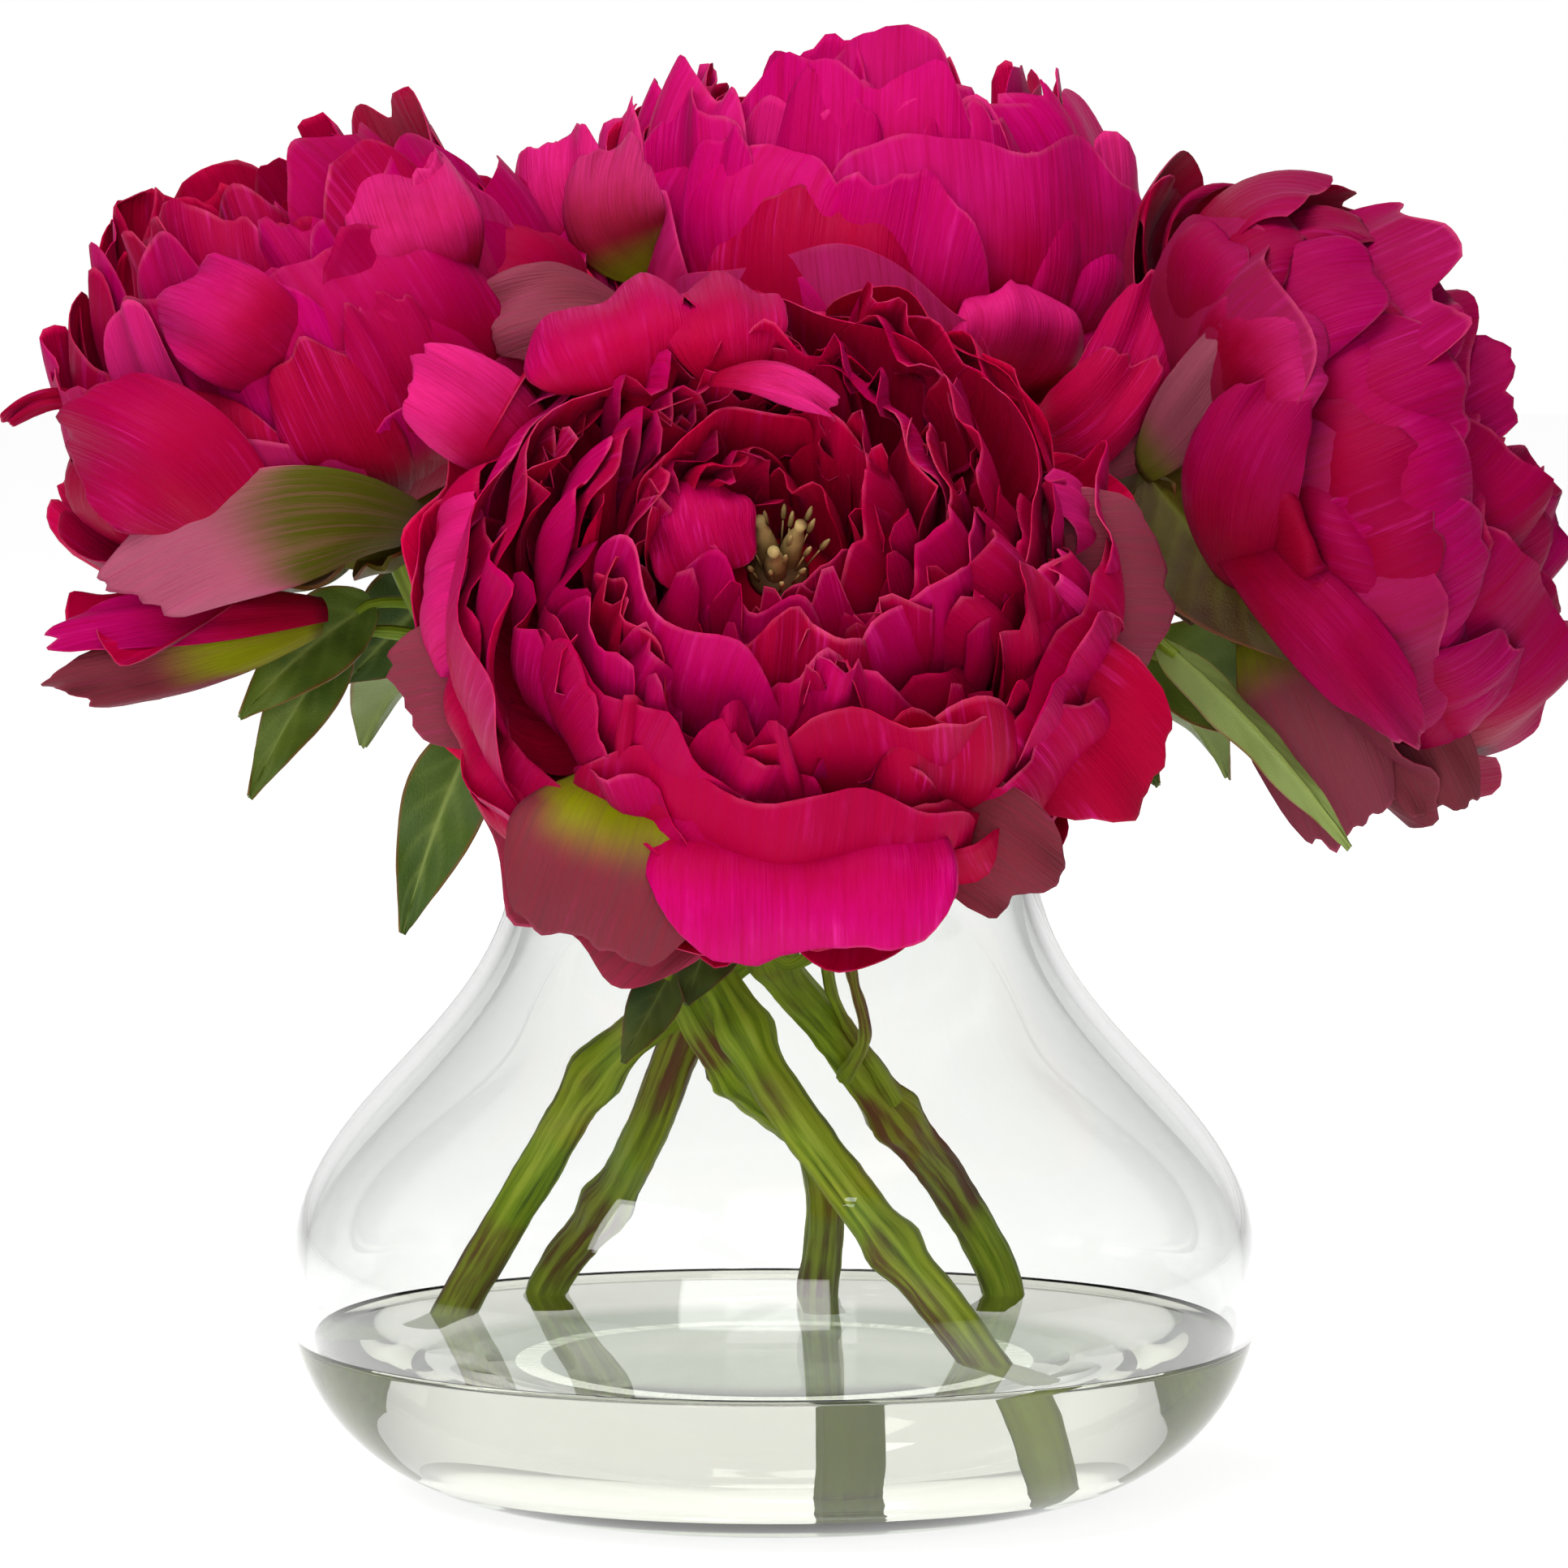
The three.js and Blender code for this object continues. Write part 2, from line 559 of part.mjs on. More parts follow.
const BLOOMS = {
  front: {
    base: new THREE.Vector3(0, -46, 128),
    axis: new THREE.Vector3(0.02, -0.84, 0.54),
    radius: 46,
    height: 52,
    turn: 0.2,
    seed: 11,
    loose: [
      loosePetal([-0.8, -0.3, -1], 53, 4),
      loosePetal([0.1, -0.5, -1], 51, 10),
      loosePetal([1, 0, 0.15], 54, 2),
      loosePetal([-1, 0, 0.25], 50, 8),
    ],
  },
  left: {
    base: new THREE.Vector3(-60, 0, 153),
    axis: new THREE.Vector3(-0.42, -0.14, 0.9),
    radius: 39,
    height: 53,
    turn: 0.5,
    seed: 23,
    loose: [
      loosePetal([-1, -0.05, 0], 47, 9, -0.4),
      loosePetal([-1, -0.5, -0.4], 53, -2, -0.4),
      loosePetal([-0.5, 0.9, 0], 46, 0),
    ],
  },
  top: {
    base: new THREE.Vector3(13, 43, 163),
    axis: new THREE.Vector3(0.03, 0.06, 0.99),
    radius: 45,
    height: 56,
    turn: 0.9,
    seed: 37,
    loose: [
      loosePetal([-1, -0.2, 0], 52, 36),
      loosePetal([0.8, -0.7, 0], 54, 6),
      loosePetal([0.1, 1, 0], 54, 2),
    ],
  },
  right: {
    base: new THREE.Vector3(67.5, -17.5, 149.5),
    axis: new THREE.Vector3(0.9, 0.04, 0.42),
    radius: 44,
    height: 46,
    turn: 0.1,
    seed: 53,
    loose: [loosePetal([0.4, -0.6, -1], 57, 12), loosePetal([0.2, 1, -0.3], 50, 0)],
  },
};

/** A leaf on a stem, in millimetres: where its petiole leaves, its root and tip, half width and droop. */
function leaf(at, root, tip, width, droop, face = [0, -1, 0.2], arch = 4) {
  const rootPoint = new THREE.Vector3(...root);
  const reach = new THREE.Vector3(...tip).sub(rootPoint).addScaledVector(UP, droop);
  return {
    at,
    root: rootPoint,
    direction: reach,
    length: reach.length(),
    width,
    droop,
    face: new THREE.Vector3(...face),
    arch,
  };
}

const STEMS = {
  left: {
    points: [
      [40, -31, 9.5],
      [32, -31, 24],
      [13, -27, 48],
      [0, -22, 65],
      [-9, -15, 81],
      [-22, -8, 98],
      [-35, -5, 115],
      [-48, -2, 129],
    ],
    leaves: [leaf(0.8, [-45, -21, 119], [-56, -25, 89], 6.5, 8)],
  },
  right: {
    points: [
      [-56, 20, 13],
      [-50, 22, 26],
      [-36, 17, 50],
      [-26, 13, 65],
      [-12, 12, 76],
      [2, 10, 88],
      [18, 4, 102],
      [34, -3, 116],
    ],
    leaves: [
      leaf(0.86, [60, -25, 131], [88, -38, 102], 5, 22),
      leaf(0.83, [55, -20, 127], [79, -24, 115], 6.5, 7),
      leaf(0.78, [52, -16, 122], [58, -20, 111], 3.5, 3),
      leaf(0.81, [52, 16, 127], [72, 42, 108], 9, 16, [0.5, 0.6, 0.6]),
    ],
  },
  top: {
    points: [
      [-35.5, 40.5, 11.5],
      [-37, 47, 24],
      [-27, 40, 40],
      [-20, 30, 53],
      [-14, 26, 68],
      [-6, 25, 84],
      [4, 24, 102],
      [10, 30, 125],
    ],
    leaves: [
      leaf(0.72, [-14, 52, 128], [-34, 82, 108], 10, 20, [-0.3, 0.5, 0.8]),
      leaf(0.74, [22, 56, 130], [40, 88, 110], 11, 20, [0.3, 0.5, 0.8]),
    ],
  },
  front: {
    points: [
      [34, 40.5, 11],
      [37, 46, 24],
      [28, 38, 43],
      [18, 26, 56],
      [9, 13, 69],
      [0, -2, 82],
      [-4, -13, 97],
      [-3, -25, 110],
    ],
    leaves: [leaf(0.62, [-8, -24, 92], [-13, -28, 78], 5.5, 3, [0, -1, 0.1], 1)],
  },
};

const LEAFY_STEM = {
  points: [
    [8, 42, 8],
    [7, 44, 24],
    [8, 36, 43],
    [5, 26, 52],
    [-4, 12, 60],
    [-11, 0, 70],
    [-18, -1, 84],
    [-26, 7, 99],
    [-35, 15, 116],
    [-44, 19, 130],
  ],
  leaves: [
    leaf(0.94, [-66, 12, 132], [-81, 7, 107], 5.5, 8),
    leaf(0.97, [-62, 8, 137], [-82, 0, 120], 6.5, 6),
    leaf(0.99, [-50, 22, 140], [-67, 26, 124], 8, 3, [0.2, -1, 0.2]),
    leaf(0.9, [-50, 28, 128], [-66, 52, 112], 10, 16, [-0.6, 0.5, 0.7]),
    leaf(0.48, [-15, -6, 82], [-23, -10, 67], 4, 1, [0, -1, 0.1], 1),
  ],
};

const COLOURS = {
  glass: 0xe9efec,
  water: 0xe9ead6,
  petal: 0xb4005c,
  green: 0x5d7a27,
  heart: 0xb99a4a,
};

/** A named part with its own finish. */
function part(name, geometry, colour, roughness) {
  const material = new THREE.MeshStandardMaterial({ color: colour, roughness, metalness: 0 });
  const mesh = new THREE.Mesh(geometry, material);
  mesh.name = name;
  return mesh;
}

const group = new THREE.Group();
group.add(part("vase", vaseGeometry(), COLOURS.glass, 0.05));

let water = toSolid(waterGeometry());
const stemSolids = {};
for (const [name, stem] of Object.entries(STEMS)) {
  stemSolids[name] = flowerStemSolid(BLOOMS[name], stem);
}
stemSolids.leafy = leafyStemSolid(LEAFY_STEM);
for (const { curve } of Object.values(stemSolids)) {
  const hole = tubeGeometry(curve, () => STEM_RADIUS + WATER_GAP, STEM_SIDES, STEM_STEPS);
  water = water.subtract(toSolid(hole));
}
group.add(part("water", toGeometry(water), COLOURS.water, 0.02));

for (const [name, bloom] of Object.entries(BLOOMS)) {
  group.add(part(`petals_${name}`, petalsGeometry(bloom), COLOURS.petal, 0.6));
  group.add(part(`heart_${name}`, heartGeometry(bloom), COLOURS.heart, 0.7));
  group.add(part(`stem_${name}`, toGeometry(stemSolids[name].solid), COLOURS.green, 0.6));
}
group.add(part("stem_leafy", toGeometry(stemSolids.leafy.solid), COLOURS.green, 0.6));

export default group;
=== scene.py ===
"""Full peony blooms with their stems and leaves in a squat clear glass vase.

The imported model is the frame. Each node of it is replaced by a finer piece that keeps its form: glass,
water, ruffled petals, hearts of carpels and stamens, ribbed stalks, sepals and veined leaves.
Sizes are in millimetres in the classes below and become metres when a mesh is made. The front faces -Y.
"""

import logging
import math
from dataclasses import dataclass, field, replace
from enum import Enum
from functools import cached_property

import bpy
import numpy as np
from mathutils import Matrix, Quaternion, Vector


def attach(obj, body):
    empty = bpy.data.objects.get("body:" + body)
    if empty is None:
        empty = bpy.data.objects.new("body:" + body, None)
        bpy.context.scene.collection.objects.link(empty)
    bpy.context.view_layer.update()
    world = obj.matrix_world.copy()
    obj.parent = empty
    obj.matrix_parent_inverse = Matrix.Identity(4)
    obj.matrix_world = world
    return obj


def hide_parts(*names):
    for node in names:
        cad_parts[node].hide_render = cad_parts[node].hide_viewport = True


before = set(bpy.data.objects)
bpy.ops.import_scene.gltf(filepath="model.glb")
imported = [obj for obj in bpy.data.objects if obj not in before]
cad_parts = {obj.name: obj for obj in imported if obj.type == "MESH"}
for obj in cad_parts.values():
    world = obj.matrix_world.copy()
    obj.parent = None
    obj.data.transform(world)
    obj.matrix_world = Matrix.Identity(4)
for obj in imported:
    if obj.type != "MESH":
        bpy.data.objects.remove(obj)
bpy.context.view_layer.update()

LOG = logging.getLogger("peonies")
MM = 0.001
GOLDEN_ANGLE = math.pi * (3 - math.sqrt(5))
MASK = 0xFFFFFFFF

Pair = tuple[float, float]
Triple = tuple[float, float, float]
Colour = Triple
Socket = bpy.types.NodeSocket
Material = bpy.types.Material
Piece = bpy.types.Object
Grid = np.ndarray


class Slot(Enum):
    """The record's material slots."""

    GLASS = "glass"
    WATER = "water"
    PETALS = "petals"
    GREENS = "greens"
    HEART = "heart"


class SeededDraws:
    """Repeatable random numbers between 0 and 1."""

    def __init__(self, seed: int) -> None:
        """Start the series that has this number."""
        self.state = seed & MASK

    def __call__(self) -> float:
        """Return the next number of the series.

        Returns:
            A number from 0 up to 1.
        """
        self.state = (self.state + 0x6D2B79F5) & MASK
        mixed = ((self.state ^ (self.state >> 15)) * (1 | self.state)) & MASK
        step = ((mixed ^ (mixed >> 7)) * (61 | mixed)) & MASK
        mixed = ((mixed + step) & MASK) ^ mixed
        return (mixed ^ (mixed >> 14)) / 4294967296

    def between(self, low: float, high: float) -> float:
        """Return the next number, between low and high."""
        return low + (high - low) * self()


def unit(vectors: "Grid | Triple") -> Grid:
    """Return vectors with length 1, along the last axis."""
    return vectors / np.maximum(np.linalg.norm(vectors, axis=-1, keepdims=True), 1e-12)


def moved(points: Grid, matrix: Matrix) -> Grid:
    """Return points turned and moved, with their coordinates along the last axis.

    Args:
        points: the points.
        matrix: the turn and move.

    Returns:
        The moved points.
    """
    grid = np.array(matrix)
    return points @ grid[:3, :3].T + grid[:3, 3]


# ---- shaders and geometry trees


def put(name: str, data: bpy.types.ID) -> Piece:
    """Put an object with its data into the scene.

    Args:
        name: the object's name.
        data: its mesh, curve, lamp or camera.

    Returns:
        The object.
    """
    made = bpy.data.objects.new(name, data)
    bpy.context.scene.collection.objects.link(made)
    return made


class ShaderSheet:
    """The node tree of a new material or world, with methods that add its nodes and join them."""

    def __init__(self, name: str, world: bool = False) -> None:
        """Make the tree with its one shader.

        Args:
            name: the material's or world's name.
            world: whether it is a world and not a material.
        """
        self.data = (bpy.data.worlds if world else bpy.data.materials).new(name)
        self.data.use_nodes = True
        self.nodes, self.links = self.data.node_tree.nodes, self.data.node_tree.links
        self.shader = self.nodes["Background" if world else "Principled BSDF"]

    def feed(self, into: Socket, value: "Socket | float | Colour") -> None:
        """Join a socket to an input, or set the input to a constant.

        Args:
            into: the input.
            value: the socket or constant.
        """
        if isinstance(value, Socket):
            self.links.new(value, into)
        elif into.type == "RGBA":
            into.default_value = (*value, 1.0)
        else:
            into.default_value = value

    def shade(self, **inputs: "Socket | float | Colour") -> None:
        """Set the shader's inputs.

        Args:
            **inputs: a socket or constant for each, named with underscores for spaces.
        """
        for name, value in inputs.items():
            self.feed(self.shader.inputs[name.replace("_", " ")], value)

    def attribute(self, name: str, output: str) -> Socket:
        """Return an output of one of the mesh's attributes.

        Args:
            name: the attribute's name.
            output: the output's name.

        Returns:
            Its socket.
        """
        source = self.nodes.new("ShaderNodeAttribute")
        source.attribute_name = name
        return source.outputs[output]

    def layer(self, name: str) -> tuple[Socket, Socket, Socket]:
        """Return the three channels of one of the mesh's colour attributes.

        Args:
            name: the attribute's name.

        Returns:
            Its red, green and blue channels.
        """
        split = self.nodes.new("ShaderNodeSeparateColor")
        self.links.new(self.attribute(name, "Color"), split.inputs[0])
        return split.outputs[0], split.outputs[1], split.outputs[2]

    def scaled(self, where: Socket, scale: Triple) -> Socket:
        """Return a place with each coordinate made larger.

        Args:
            where: the place.
            scale: how many times larger each coordinate is made.

        Returns:
            The vector socket.
        """
        mapping = self.nodes.new("ShaderNodeMapping")
        mapping.inputs["Scale"].default_value = scale
        self.links.new(where, mapping.inputs["Vector"])
        return mapping.outputs["Vector"]

    def on_object(self) -> Socket:
        """Return the place on the object."""
        return self.nodes.new("ShaderNodeTexCoord").outputs["Object"]

    def on_map(self, scale: Triple) -> Socket:
        """Return the scaled place on the piece's own map."""
        return self.scaled(self.nodes.new("ShaderNodeTexCoord").outputs["UV"], scale)

    def axes(self, where: Socket) -> tuple[Socket, Socket, Socket]:
        """Return the three coordinates of a place.

        Args:
            where: the place.

        Returns:
            Its X, Y and Z.
        """
        split = self.nodes.new("ShaderNodeSeparateXYZ")
        self.links.new(where, split.inputs[0])
        return split.outputs[0], split.outputs[1], split.outputs[2]

    def add_vectors(self, a: Socket, b: Socket) -> Socket:
        """Return the sum of two vectors.

        Args:
            a: the first vector.
            b: the second vector.

        Returns:
            The vector socket.
        """
        total = self.nodes.new("ShaderNodeVectorMath")
        self.links.new(a, total.inputs[0])
        self.links.new(b, total.inputs[1])
        return total.outputs[0]

    def noise(self, where: Socket, scale: float, detail: float = 3.0, rough: float = 0.55) -> Socket:
        """Return a cloudy pattern between 0 and 1.

        Args:
            where: the place on the piece.
            scale: the pattern's scale.
            detail: how many finer octaves it has.
            rough: how strong the finer octaves are.

        Returns:
            The factor socket.
        """
        node = self.nodes.new("ShaderNodeTexNoise")
        for name, number in (("Scale", scale), ("Detail", detail), ("Roughness", rough)):
            node.inputs[name].default_value = number
        self.links.new(where, node.inputs["Vector"])
        return node.outputs[0]

    def maths(self, operation: str, a: "Socket | float", b: "Socket | float" = 0.0) -> Socket:
        """Return a sum, product or other operation of two numbers.

        Args:
            operation: the operation.
            a: the first number.
            b: the second number, where the operation takes one.

        Returns:
            The number's socket.
        """
        node = self.nodes.new("ShaderNodeMath")
        node.operation = operation
        self.feed(node.inputs[0], a)
        self.feed(node.inputs[1], b)
        return node.outputs[0]

    def times(self, a: Socket, b: "Socket | float") -> Socket:
        """Return the product of two numbers."""
        return self.maths("MULTIPLY", a, b)

    def span(self, value: Socket, low: float, high: float, start: float = 0.0, end: float = 1.0) -> Socket:
        """Return a value mapped smoothly from one range onto another, and held at both ends.

        Args:
            value: the value.
            low: where its range begins.
            high: where its range ends.
            start: what it becomes at low.
            end: what it becomes at high.

        Returns:
            The number's socket.
        """
        node = self.nodes.new("ShaderNodeMapRange")
        node.interpolation_type = "SMOOTHSTEP"
        self.links.new(value, node.inputs["Value"])
        for name, number in (("From Min", low), ("From Max", high), ("To Min", start), ("To Max", end)):
            node.inputs[name].default_value = number
        return node.outputs[0]

    def mix(self, factor: "Socket | float", a: "Socket | Colour", b: "Socket | Colour") -> Socket:
        """Return two colours mixed.

        Args:
            factor: the share of the second colour.
            a: the first colour.
            b: the second colour.

        Returns:
            The colour socket.
        """
        node = self.nodes.new("ShaderNodeMix")
        node.data_type = "RGBA"
        self.feed(node.inputs[0], factor)
        self.feed(node.inputs[6], a)
        self.feed(node.inputs[7], b)
        return node.outputs[2]

    def ramp(self, value: Socket, stops: list[tuple[float, Colour]]) -> Socket:
        """Return a colour read from stops along a value.

        Args:
            value: the value.
            stops: each stop's place and colour.

        Returns:
            The colour socket.
        """
        node = self.nodes.new("ShaderNodeValToRGB")
        elements = node.color_ramp.elements
        while len(elements) < len(stops):
            elements.new(0.5)
        for element, (place, colour) in zip(elements, stops):
            element.position = place
            element.color = (*colour, 1.0)
        self.links.new(value, node.inputs[0])
        return node.outputs[0]

    def relief(self, height: Socket, strength: float, depth: float) -> None:
        """Give the surface a fine relief.

        Args:
            height: the height pattern.
            strength: how strongly it shows.
            depth: its depth in millimetres.
        """
        node = self.nodes.new("ShaderNodeBump")
        node.inputs["Strength"].default_value = strength
        node.inputs["Distance"].default_value = depth * MM
        self.links.new(height, node.inputs["Height"])
        self.links.new(node.outputs[0], self.shader.inputs["Normal"])


class GeometryRecipe:
    """A geometry node tree with named inputs, and methods that add its nodes and join them."""

    def __init__(self, name: str) -> None:
        """Make an empty tree.

        Args:
            name: the tree's name.
        """
        self.tree = bpy.data.node_groups.new(name, "GeometryNodeTree")
        face = self.tree.interface
        face.new_socket("Geometry", in_out="INPUT", socket_type="NodeSocketGeometry")
        face.new_socket("Geometry", in_out="OUTPUT", socket_type="NodeSocketGeometry")
        self.entry = self.tree.nodes.new("NodeGroupInput")
        self.exit = self.tree.nodes.new("NodeGroupOutput")
        self.identifiers: dict[str, str] = {}

    def size(self, name: str, kind: str = "NodeSocketFloat") -> Socket:
        """Add a named input.

        Args:
            name: the input's name.
            kind: the type of its socket.

        Returns:
            Its socket.
        """
        made = self.tree.interface.new_socket(name, in_out="INPUT", socket_type=kind)
        self.identifiers[name] = made.identifier
        return self.entry.outputs[name]

    def add(self, kind: str, *inputs: object, **settings: object) -> bpy.types.Node:
        """Add a node.

        Args:
            kind: the node's type.
            *inputs: sockets or constants for its inputs in order, None to leave one alone.
            **settings: values of the node's own properties.

        Returns:
            The node.
        """
        node = self.tree.nodes.new(kind)
        for key, value in settings.items():
            setattr(node, key, value)
        live = [socket for socket in node.inputs if socket.enabled]
        for socket, value in zip(live, inputs):
            if isinstance(value, Socket):
                self.tree.links.new(value, socket)
            elif value is not None:
                socket.default_value = value
        return node

    def join(self, value: Socket, node: bpy.types.Node, name: str) -> None:
        """Join a socket to a node's input of that name."""
        self.tree.links.new(value, node.inputs[name])

    def maths(self, operation: str, a: object, b: object = None) -> Socket:
        """Return an operation of one or two numbers."""
        return self.add("ShaderNodeMath", a, b, operation=operation).outputs[0]

    def mark(self, shape: Socket, label: str, value: Socket) -> Socket:
        """Return a shape that carries a vector at each of its points.

        Args:
            shape: the shape.
            label: the name that the vector is kept under.
            value: the vector.

        Returns:
            The shape's socket.
        """
        node = self.add("GeometryNodeStoreNamedAttribute", data_type="FLOAT_VECTOR", domain="POINT")
        node.inputs["Name"].default_value = label
        self.join(shape, node, "Geometry")
        self.join(value, node, "Value")
        return node.outputs[0]

    def close(self, shape: Socket, material: Material) -> None:
        """End the tree with smooth shading, realized instances and a material.

        Args:
            shape: the finished shape.
            material: its finish.
        """
        smooth = self.add("GeometryNodeSetShadeSmooth", shape)
        real = self.add("GeometryNodeRealizeInstances", smooth.outputs[0])
        dressed = self.add("GeometryNodeSetMaterial", real.outputs[0])
        dressed.inputs["Material"].default_value = material
        self.tree.links.new(dressed.outputs[0], self.exit.inputs[0])

    def grow(self, name: str, source: bpy.types.ID, sizes: dict[str, float]) -> Piece:
        """Run the tree on a curve or mesh, and keep the result as a plain mesh.

        Args:
            name: the finished piece's name.
            source: the curve or mesh data that the tree starts from.
            sizes: the values of the named inputs.

        Returns:
            The finished piece.
        """
        carrier = put(name + "_source", source)
        modifier = carrier.modifiers.new("grow", "NODES")
        modifier.node_group = self.tree
        for label, value in sizes.items():
            modifier[self.identifiers[label]] = value
        carrier.update_tag()
        bpy.context.view_layer.update()
        seen = carrier.evaluated_get(bpy.context.evaluated_depsgraph_get())
        mesh = bpy.data.meshes.new_from_object(seen)
        carrier.modifiers.remove(modifier)
        bpy.data.objects.remove(carrier)
        return put(name, mesh)


# ---- meshes


@dataclass
class MeshStack:
    """Grids, tubes and turned shapes that become one mesh with its patterns' attributes."""

    points: list[Grid] = field(default_factory=list)
    quads: list[Grid] = field(default_factory=list)
    tone: list[Grid] = field(default_factory=list)
    role: list[Grid] = field(default_factory=list)
    maps: list[Grid] = field(default_factory=list)
    creases: list[Grid] = field(default_factory=list)
    count: int = 0

    def keep(self, points: Grid, quads: Grid, tone: Grid, role: Grid, maps: Grid) -> None:
        """Add a shape.

        Args:
            points: its points.
            quads: its faces.
            tone: the first attribute, by point.
            role: the second attribute, by point.
            maps: its own map, by point.
        """
        self.points.append(points)
        self.quads.append(quads + self.count)
        self.tone.append(tone)
        self.role.append(role)
        self.maps.append(maps)
        self.count += len(points)

    def blade(self, grid: Grid, thickness: Grid, tone: Grid, maps: Grid, role: Pair = (0.0, 0.0)) -> None:
        """Add a closed blade about a grid of points.

        Args:
            grid: the middle surface, as rows from root to tip, columns across and three coordinates.
            thickness: the blade's thickness at each point of the grid.
            tone: three pattern values at each point of the grid.
            maps: the place on the blade at each point of the grid.
            role: how much the blade looks like a guard and how far green it is. Between these two values
                the second attribute holds 1 on the blade's outer face and 0 on its inner one.
        """
        flat = grid.shape[0] * grid.shape[1]
        across = np.gradient(grid, axis=1)
        along = np.gradient(grid, axis=0)
        half = unit(np.cross(across, along)) * thickness[..., None] / 2
        points = np.concatenate([(grid + half).reshape(-1, 3), (grid - half).reshape(-1, 3)])
        index = np.arange(flat).reshape(grid.shape[:2])
        a, b, c, d = (index[:-1, :-1], index[:-1, 1:], index[1:, 1:], index[1:, :-1])
        outer = np.dstack([a, b, c, d]).reshape(-1, 4)
        inner = np.dstack([a, d, c, b]).reshape(-1, 4) + flat
        rim = np.concatenate([index[0, :], index[1:, -1], index[-1, -2::-1], index[-2:0:-1, 0]])
        following = np.roll(rim, -1)
        side = np.stack([rim, rim + flat, following + flat, following], axis=-1)
        ends = np.stack([rim, following], axis=-1)
        self.creases += [ends + self.count, ends + self.count + flat]
        roles = np.tile([role[0], 0.0, role[1]], (2 * flat, 1))
        roles[:flat, 1] = 1.0
        self.keep(
            points,
            np.concatenate([outer, inner, side]),
            np.tile(tone.reshape(-1, 3), (2, 1)),
            roles,
            np.tile(maps.reshape(-1, 2), (2, 1)),
        )

    def close_ends(self, index: Grid, first: int) -> Grid:
        """Return the faces of rings of points whose first and last ring each close to one point.

        Args:
            index: the points' numbers, one ring a row.
            first: the number of the point that closes the first ring; the next one closes the last.

        Returns:
            The faces.
        """
        around = np.roll(index, -1, axis=1)
        quads = np.dstack([index[:-1], around[:-1], around[1:], index[1:]]).reshape(-1, 4)
        tip = np.full(index.shape[1], first)
        low = np.stack([around[0], index[0], tip, tip], axis=-1)
        high = np.stack([index[-1], around[-1], tip + 1, tip + 1], axis=-1)
        return np.concatenate([quads, low, high])

    def turned(self, profile: "Grid | tuple[Pair, ...]", segments: int) -> None:
        """Add a profile in (radius, height) turned about +Z.

        Args:
            profile: the profile's points, going up the outside; its ends lie on the axis.
            segments: how many steps it has around.
        """
        profile = np.array(profile, float)
        ring = profile[1:-1]
        angles = np.linspace(0, 2 * math.pi, segments, endpoint=False)
        radii, heights = ring[:, :1], np.repeat(ring[:, 1:], segments, axis=1)
        shell = np.dstack([radii * np.cos(angles), radii * np.sin(angles), heights]).reshape(-1, 3)
        points = np.concatenate([shell, [[0, 0, profile[0, 1]], [0, 0, profile[-1, 1]]]])
        index = np.arange(len(shell)).reshape(len(ring), segments)
        blank = np.zeros((len(points), 3))
        self.keep(points, self.close_ends(index, len(shell)), blank, blank, blank[:, :2])

    def tube(self, path: Grid, radii: Grid, sides: int) -> None:
        """Add a closed tube along a path; its first pattern value is the way along it.

        Args:
            path: the points of its middle line.
            radii: its radius at each point.
            sides: how many sides it has.
        """
        tangents = unit(np.gradient(path, axis=0))
        guide = np.array([0.0, 0.0, 1.0]) if abs(tangents[0, 2]) < 0.9 else np.array([1.0, 0.0, 0.0])
        rings = []
        for tangent, centre, radius in zip(tangents, path, radii):
            guide = unit(guide - tangent * guide.dot(tangent))
            other = np.cross(tangent, guide)
            angles = np.linspace(0, 2 * math.pi, sides, endpoint=False)[:, None]
            rings.append(centre + radius * (np.cos(angles) * guide + np.sin(angles) * other))
        points = np.concatenate(rings + [path[:1], path[-1:]])
        index = np.arange(len(path) * sides).reshape(len(path), sides)
        tones = np.zeros((len(points), 3))
        tones[: index.size, 0] = np.repeat(np.linspace(0, 1, len(path)), sides)
        tones[-1, 0] = 1.0
        self.keep(points, self.close_ends(index, index.size), tones, np.zeros((len(points), 3)), tones[:, :2])

    def finish(self, name: str, material: Material, matrix: "Matrix | None" = None) -> Piece:
        """Make the piece.

        Args:
            name: the piece's name.
            material: its finish.
            matrix: a turn and move, in millimetres, from the shape's own frame to the object's.

        Returns:
            The piece, at the origin, in metres.
        """
        points = np.concatenate(self.points)
        if matrix is not None:
            points = moved(points, matrix)
        faces = [[v for k, v in enumerate(face) if v != face[k - 1]] for face in np.concatenate(self.quads).tolist()]
        mesh = bpy.data.meshes.new(name)
        mesh.from_pydata((points * MM).tolist(), [], faces)
        for label, shapes in (("tone", self.tone), ("role", self.role)):
            values = np.concatenate(shapes)
            full = np.concatenate([values, np.ones((len(values), 1))], axis=1)
            layer = mesh.attributes.new(label, "FLOAT_COLOR", "POINT")
            layer.data.foreach_set("color", full.astype(np.float32).ravel())
        if self.creases:
            pairs = np.sort(np.concatenate(self.creases), axis=1)
            ends = np.zeros(2 * len(mesh.edges), np.int32)
            mesh.edges.foreach_get("vertices", ends)
            ends = np.sort(ends.reshape(-1, 2), axis=1)
            sharp = np.isin(ends[:, 0] * len(points) + ends[:, 1], pairs[:, 0] * len(points) + pairs[:, 1])
            mesh.attributes.new("sharp_edge", "BOOLEAN", "EDGE").data.foreach_set("value", sharp)
        corners = np.zeros(len(mesh.loops), np.int32)
        mesh.loops.foreach_get("vertex_index", corners)
        own = mesh.uv_layers.new(name="own_map")
        own.data.foreach_set("uv", np.concatenate(self.maps)[corners].astype(np.float32).ravel())
        mesh.shade_smooth()
        mesh.materials.append(material)
        mesh.update()
        return put(name, mesh)


